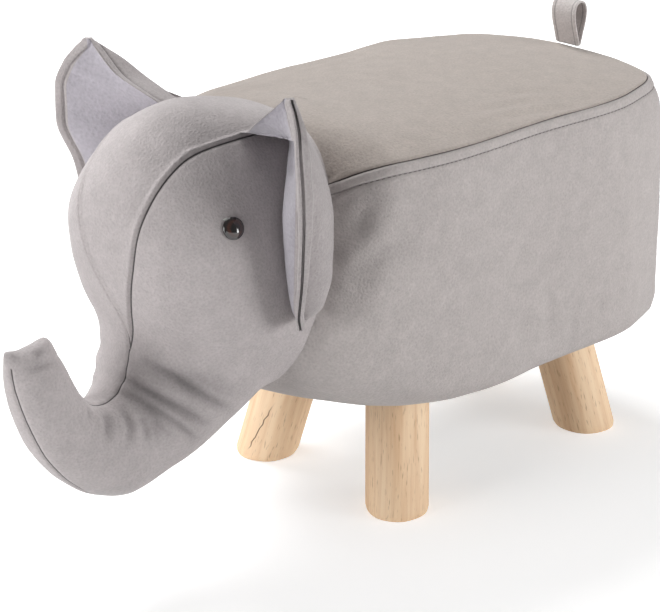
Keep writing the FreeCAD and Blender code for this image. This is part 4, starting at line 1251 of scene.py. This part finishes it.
@dataclass
class Eye:
    """A domed toy eye pressed into the cheek: a dark brown iris under a clear rim, with a black pupil."""

    side: Side
    middle: tuple = (-0.161, 0.0, 0.272)
    radius: float = 0.0080
    rise: float = 0.0045
    profile: tuple = ((0.22, 0.985), (0.42, 0.93), (0.6, 0.83), (0.72, 0.73), (0.8, 0.62), (0.86, 0.5),
                      (0.91, 0.46), (0.96, 0.4), (1, 0.24), (0.995, 0.08), (0.96, -0.1), (0.9, -0.45))

    def build(self, finishes: Finishes, cover: BVHTree) -> None:
        """Spins the dome's profile about the direction square to the cheek."""
        way = Vector((0, -self.side.value, 0))
        seat = cover.ray_cast(Vector(self.middle) - way * 0.3, way)[0]
        outward = sum((hit[1] for hit in cover.find_nearest_range(seat, 0.007)), Vector()).normalized()
        turn = Vector((0, 0, 1)).rotation_difference(outward).to_matrix()
        turns = np.linspace(0, 2 * np.pi, 48, endpoint=False)
        rings = [[seat + turn @ Vector((math.cos(t) * share * self.radius, math.sin(t) * share * self.radius,
                                        lift * self.rise)) for t in turns] for share, lift in self.profile[::-1]]
        eye = ring_form(f"{self.side.word}_domed_eye", np.array(rings))
        places, out = read(eye) - np.array(seat), np.array(outward)
        note(eye, "spoke", np.linalg.norm(places - (places @ out)[:, None] * out, axis=1) / self.radius)
        subdivide(eye)
        dress(eye, finishes.eye, Body.STOOL)
        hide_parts(f"eye_{self.side.word}")


@dataclass
class Leg:
    """One splayed round stick, sawn level at the foot."""

    name: str
    foot: tuple
    lean: tuple
    radius: float = 0.0245
    height: float = 0.0975
    seed: int = 0
    crack: bool = False
    slices: int = 24
    stock: float = 0.16
    bevel: float = 0.0012

    def build(self, finishes: Finishes) -> None:
        """Models the stick with its slight flats, bevelled foot and grain."""
        axis = Vector((*self.lean, self.height)).normalized()
        base, up = np.array(self.foot), np.array(axis)
        stick = self.sawn(axis)
        places, along, spoke = self.measure(stick, base, up)
        angle = np.arctan2(spoke @ np.cross(up, (1, 0, 0)), spoke @ np.array((1, 0, 0)))
        draw = np.random.default_rng(self.seed)
        wave = sum(draw.uniform(-0.35, 0.35) * MM * np.cos(n * angle + draw.uniform(0, 6) + 12 * along)
                   for n in (2, 3, 5, 7))
        rim = bump(places[:, 2], 0.0018) * self.bevel
        write(stick, places + units(spoke) * np.where(np.linalg.norm(spoke, axis=1) > 0.01, wave - rim, 0)[:, None])
        finish_modifier(stick, "BEVEL", width=self.bevel, segments=3, limit_method="ANGLE",
                        angle_limit=math.radians(50))
        places, along, spoke = self.measure(stick, base, up)
        across = [(places - base) @ units(np.cross(up, axis)) for axis in ((0, 1, 0), (1, 0, 0))]
        own = np.stack([*across, along + self.seed], axis=1)
        layer = stick.data.attributes.new("stick_place", "FLOAT_VECTOR", "POINT")
        layer.data.foreach_set("vector", own.astype(np.float32).ravel())
        height, angle = places[:, 2], np.arctan2(spoke[:, 1], spoke[:, 0])
        middle = math.radians(187) + math.radians(19) * np.clip((height - 0.012) / 0.033, -0.3, 1.3)
        gap = (np.mod(angle - middle + np.pi, 2 * np.pi) - np.pi) * self.radius
        note_seam(stick, "crack", gap + 0.0006 * np.sin(height * 900))
        note(stick, "crack_reach", ease(height, 0.008, 0.014) * (1 - ease(height, 0.040, 0.052)) * self.crack)
        select_only(stick)
        bpy.ops.object.shade_smooth_by_angle(angle=math.radians(35))
        dress(stick, finishes.wood, Body.STOOL)
        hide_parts(self.name)

    def sawn(self, axis: Vector) -> bpy.types.Object:
        """A round stick along the axis, sawn level at both ends and divided by level cuts."""
        bpy.ops.object.select_all(action="DESELECT")
        bpy.ops.mesh.primitive_cylinder_add(vertices=64, radius=self.radius, depth=self.stock, end_fill_type="NGON")
        stick = bpy.context.active_object
        stick.name = stick.data.name = self.name + "_stick"
        turn = Vector((0, 0, 1)).rotation_difference(axis)
        middle = Vector(self.foot) + axis * (self.height / 2 / axis.z)
        stick.matrix_world = Matrix.Translation(middle) @ turn.to_matrix().to_4x4()
        select_only(stick)
        bpy.ops.object.transform_apply(location=True, rotation=True, scale=True)
        cuts = [(0.0, {"use_fill": True, "clear_inner": True}), (self.height, {"use_fill": True, "clear_outer": True})]
        cuts += [(self.height * step / self.slices, {}) for step in range(1, self.slices)]
        with editing(stick):
            for level, kind in cuts:
                bpy.ops.mesh.select_all(action="SELECT")
                bpy.ops.mesh.bisect(plane_co=(0, 0, level), plane_no=(0, 0, 1), **kind)
        return stick

    def measure(self, stick: bpy.types.Object, base: np.ndarray, up: np.ndarray) -> tuple[np.ndarray, ...]:
        """The stick's places, how far along it they lie, and their offsets from its axis."""
        places = read(stick)
        along = (places - base) @ up
        return places, along, places - base - along[:, None] * up


@dataclass
class Tail:
    """A doubled strap sewn into the rear of the seat as an upright loop."""

    foot: tuple = (0.279, 0.0, 0.302483)
    height: float = 0.037
    width: float = 0.025
    depth: float = 0.016
    strap: float = 0.002
    hem: float = 0.0037

    def build(self, finishes: Finishes) -> None:
        """Sweeps the strap's section round the loop."""
        half = self.depth / 2 - self.strap / 2
        top = self.height - self.depth / 2
        arm = [(-0.0002, -0.0012), (-0.0035, 0.010), (-half * 0.95, top * 0.72), (-half, top),
               (-half * 0.7, top + half * 0.72)]
        control = np.array([*arm, (0, top + half), *((-x, z) for x, z in arm[::-1])])
        knots = chord_knots(control)
        line = smooth_through(control, knots, even_places(control, knots, 60))
        run = units(np.gradient(line, axis=0))
        out = np.stack([-run[:, 1], run[:, 0]], axis=1)
        shares = (0.5, 0.49, 0.46, 0.4, 0.36, 0.33, 0.3, 0.2, 0.1)
        across = np.array([*(-share for share in shares), 0, *shares[::-1]]) * self.width
        edge = self.width / 2 - np.abs(across)
        thick = self.strap / 2 * (0.82 + 0.18 * (1 - ease(edge, 0.003, 0.0045))) * np.sqrt(
            np.clip(edge / 0.0008, 0.05, 1)) - 0.25 * MM * bump(edge - self.hem, 0.0006)
        around, over = np.concatenate([across, across[::-1]]), np.concatenate([thick, -thick[::-1]])
        rings = [np.array(self.foot) + np.stack([x + ox * over, around, z + oz * over], axis=1)
                 for (x, z), (ox, oz) in zip(line, out)]
        loop = ring_form("tail_strap", np.array(rings))
        subdivide(loop)
        # The topstitching groove inside the hem gets painted shade in the material from this distance.
        note_seam(loop, "second_seam", self.width / 2 - np.abs(read(loop)[:, 1]) - self.hem)
        dress(loop, finishes.strap, Body.TAIL)
        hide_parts("tail_loop")


@dataclass
class Studio:
    """Pale floor, soft lamps, and the camera where the photograph was taken from."""

    place: tuple = (-1.1396, -1.1664, 0.8047)
    back: tuple = (-0.650, -0.662, 0.3735)
    lens: float = 125.3
    lamps: tuple = (("back_top", (0.1, 1.5, 2.2), 1.5, 62), ("front_low", (1.0, -2.05, 0.2), 1.2, 46),
                    ("left_low", (-2.4, 0.5, 0.45), 1.4, 44))

    def stand(self, name: str, data: bpy.types.ID, place: tuple, way: Vector) -> bpy.types.Object:
        """Puts a camera or lamp in its place, looking along a direction."""
        item = bpy.data.objects.new(name, data)
        bpy.context.scene.collection.objects.link(item)
        item.location = place
        item.rotation_mode = "QUATERNION"
        item.rotation_quaternion = way.to_track_quat("-Z", "Y")
        return item

    def floor(self) -> None:
        """A pale floor that shows white to the camera and keeps the object's shadow."""
        bpy.ops.object.select_all(action="DESELECT")
        bpy.ops.mesh.primitive_plane_add(size=12, location=(0, 0, 0))
        floor = bpy.context.active_object
        floor.name = "studio_floor"
        material = bpy.data.materials.new("pale_floor")
        nodes = Nodes.of(material)
        matt = nodes.add("BsdfDiffuse", {"Color": linear("#EDEDED")})
        reach = nodes.add("VectorMath", {0: nodes.add("TexCoord", out="Object")}, "Value", operation="LENGTH")
        glow = nodes.add("Emission", {"Color": (1, 1, 1, 1), "Strength": nodes.remap(reach, 0.9, 2.6, 0.50, 1.0)})
        lit = nodes.add("AddShader", {0: matt, 1: glow})
        mix = nodes.add("MixShader", {0: nodes.seen("Is Glossy Ray"), 1: matt, 2: lit})
        nodes.add("OutputMaterial", {"Surface": mix})
        floor.data.materials.append(material)

    def build(self) -> None:
        """Sets the whole studio up."""
        scene = bpy.context.scene
        scene.view_settings.view_transform = "Standard"
        data = bpy.data.cameras.new("camera")
        data.lens, data.sensor_width = self.lens, 36
        scene.camera = self.stand("camera", data, self.place, -Vector(self.back))
        self.floor()
        for name, place, size, power in self.lamps:
            data = bpy.data.lights.new(name, "AREA")
            data.size, data.energy = size, power
            self.stand(name, data, place, Vector((0, 0, 0.2)) - Vector(place))
        scene.world = bpy.data.worlds.new("white_surround")
        nodes = Nodes.of(scene.world)
        strength = nodes.remap(nodes.seen("Is Transmission Ray"), least=0.24, most=1.0)
        glow = nodes.add("Background", {"Color": (1, 1, 1, 1), "Strength": strength})
        nodes.add("OutputWorld", {"Surface": glow})


def dress_solids(finishes: Finishes) -> None:
    """Gives the solids that stay in sight, or inside, the finish of their slot."""
    slots = {part["node"]: part["material_slot"] for part in frame["record"]["subparts"]}
    for name, solid in frame["nodes"].items():
        material = finishes.cad.get(slots.get(name), finishes.head)
        for slot in solid.material_slots:
            slot.material = material


def legs() -> list[Leg]:
    """The four legs, which splay from under the middle of the seat."""
    middle, half_base, half_track, splay = 0.118, 0.1122, 0.0734, 0.195 * Leg.height
    made = []
    for end, rearward in (("front", -1), ("rear", 1)):
        for side in Side:
            foot = (middle + rearward * half_base, side.value * half_track, 0.0)
            name = f"leg_{end}_{side.word}"
            made.append(Leg(name, foot, (-rearward * splay, -side.value * splay), seed=len(made) + 1,
                            crack=name == "leg_front_right"))
    return made


def main() -> None:
    """Builds the studio and the footstool."""
    logging.basicConfig(level=logging.INFO, format="%(name)s: %(message)s")
    Studio().build()
    finishes = Finishes()
    dress_solids(finishes)
    head = HeadBody()
    cover = BVHTree.FromObject(head.build(finishes), bpy.context.evaluated_depsgraph_get())
    SeatBody().build(finishes, head)
    for side in Side:
        Ear(side).build(finishes, cover)
        Eye(side).build(finishes, cover)
    for leg in legs():
        leg.build(finishes)
    Tail().build(finishes)


if __name__ == "__main__":
    main()
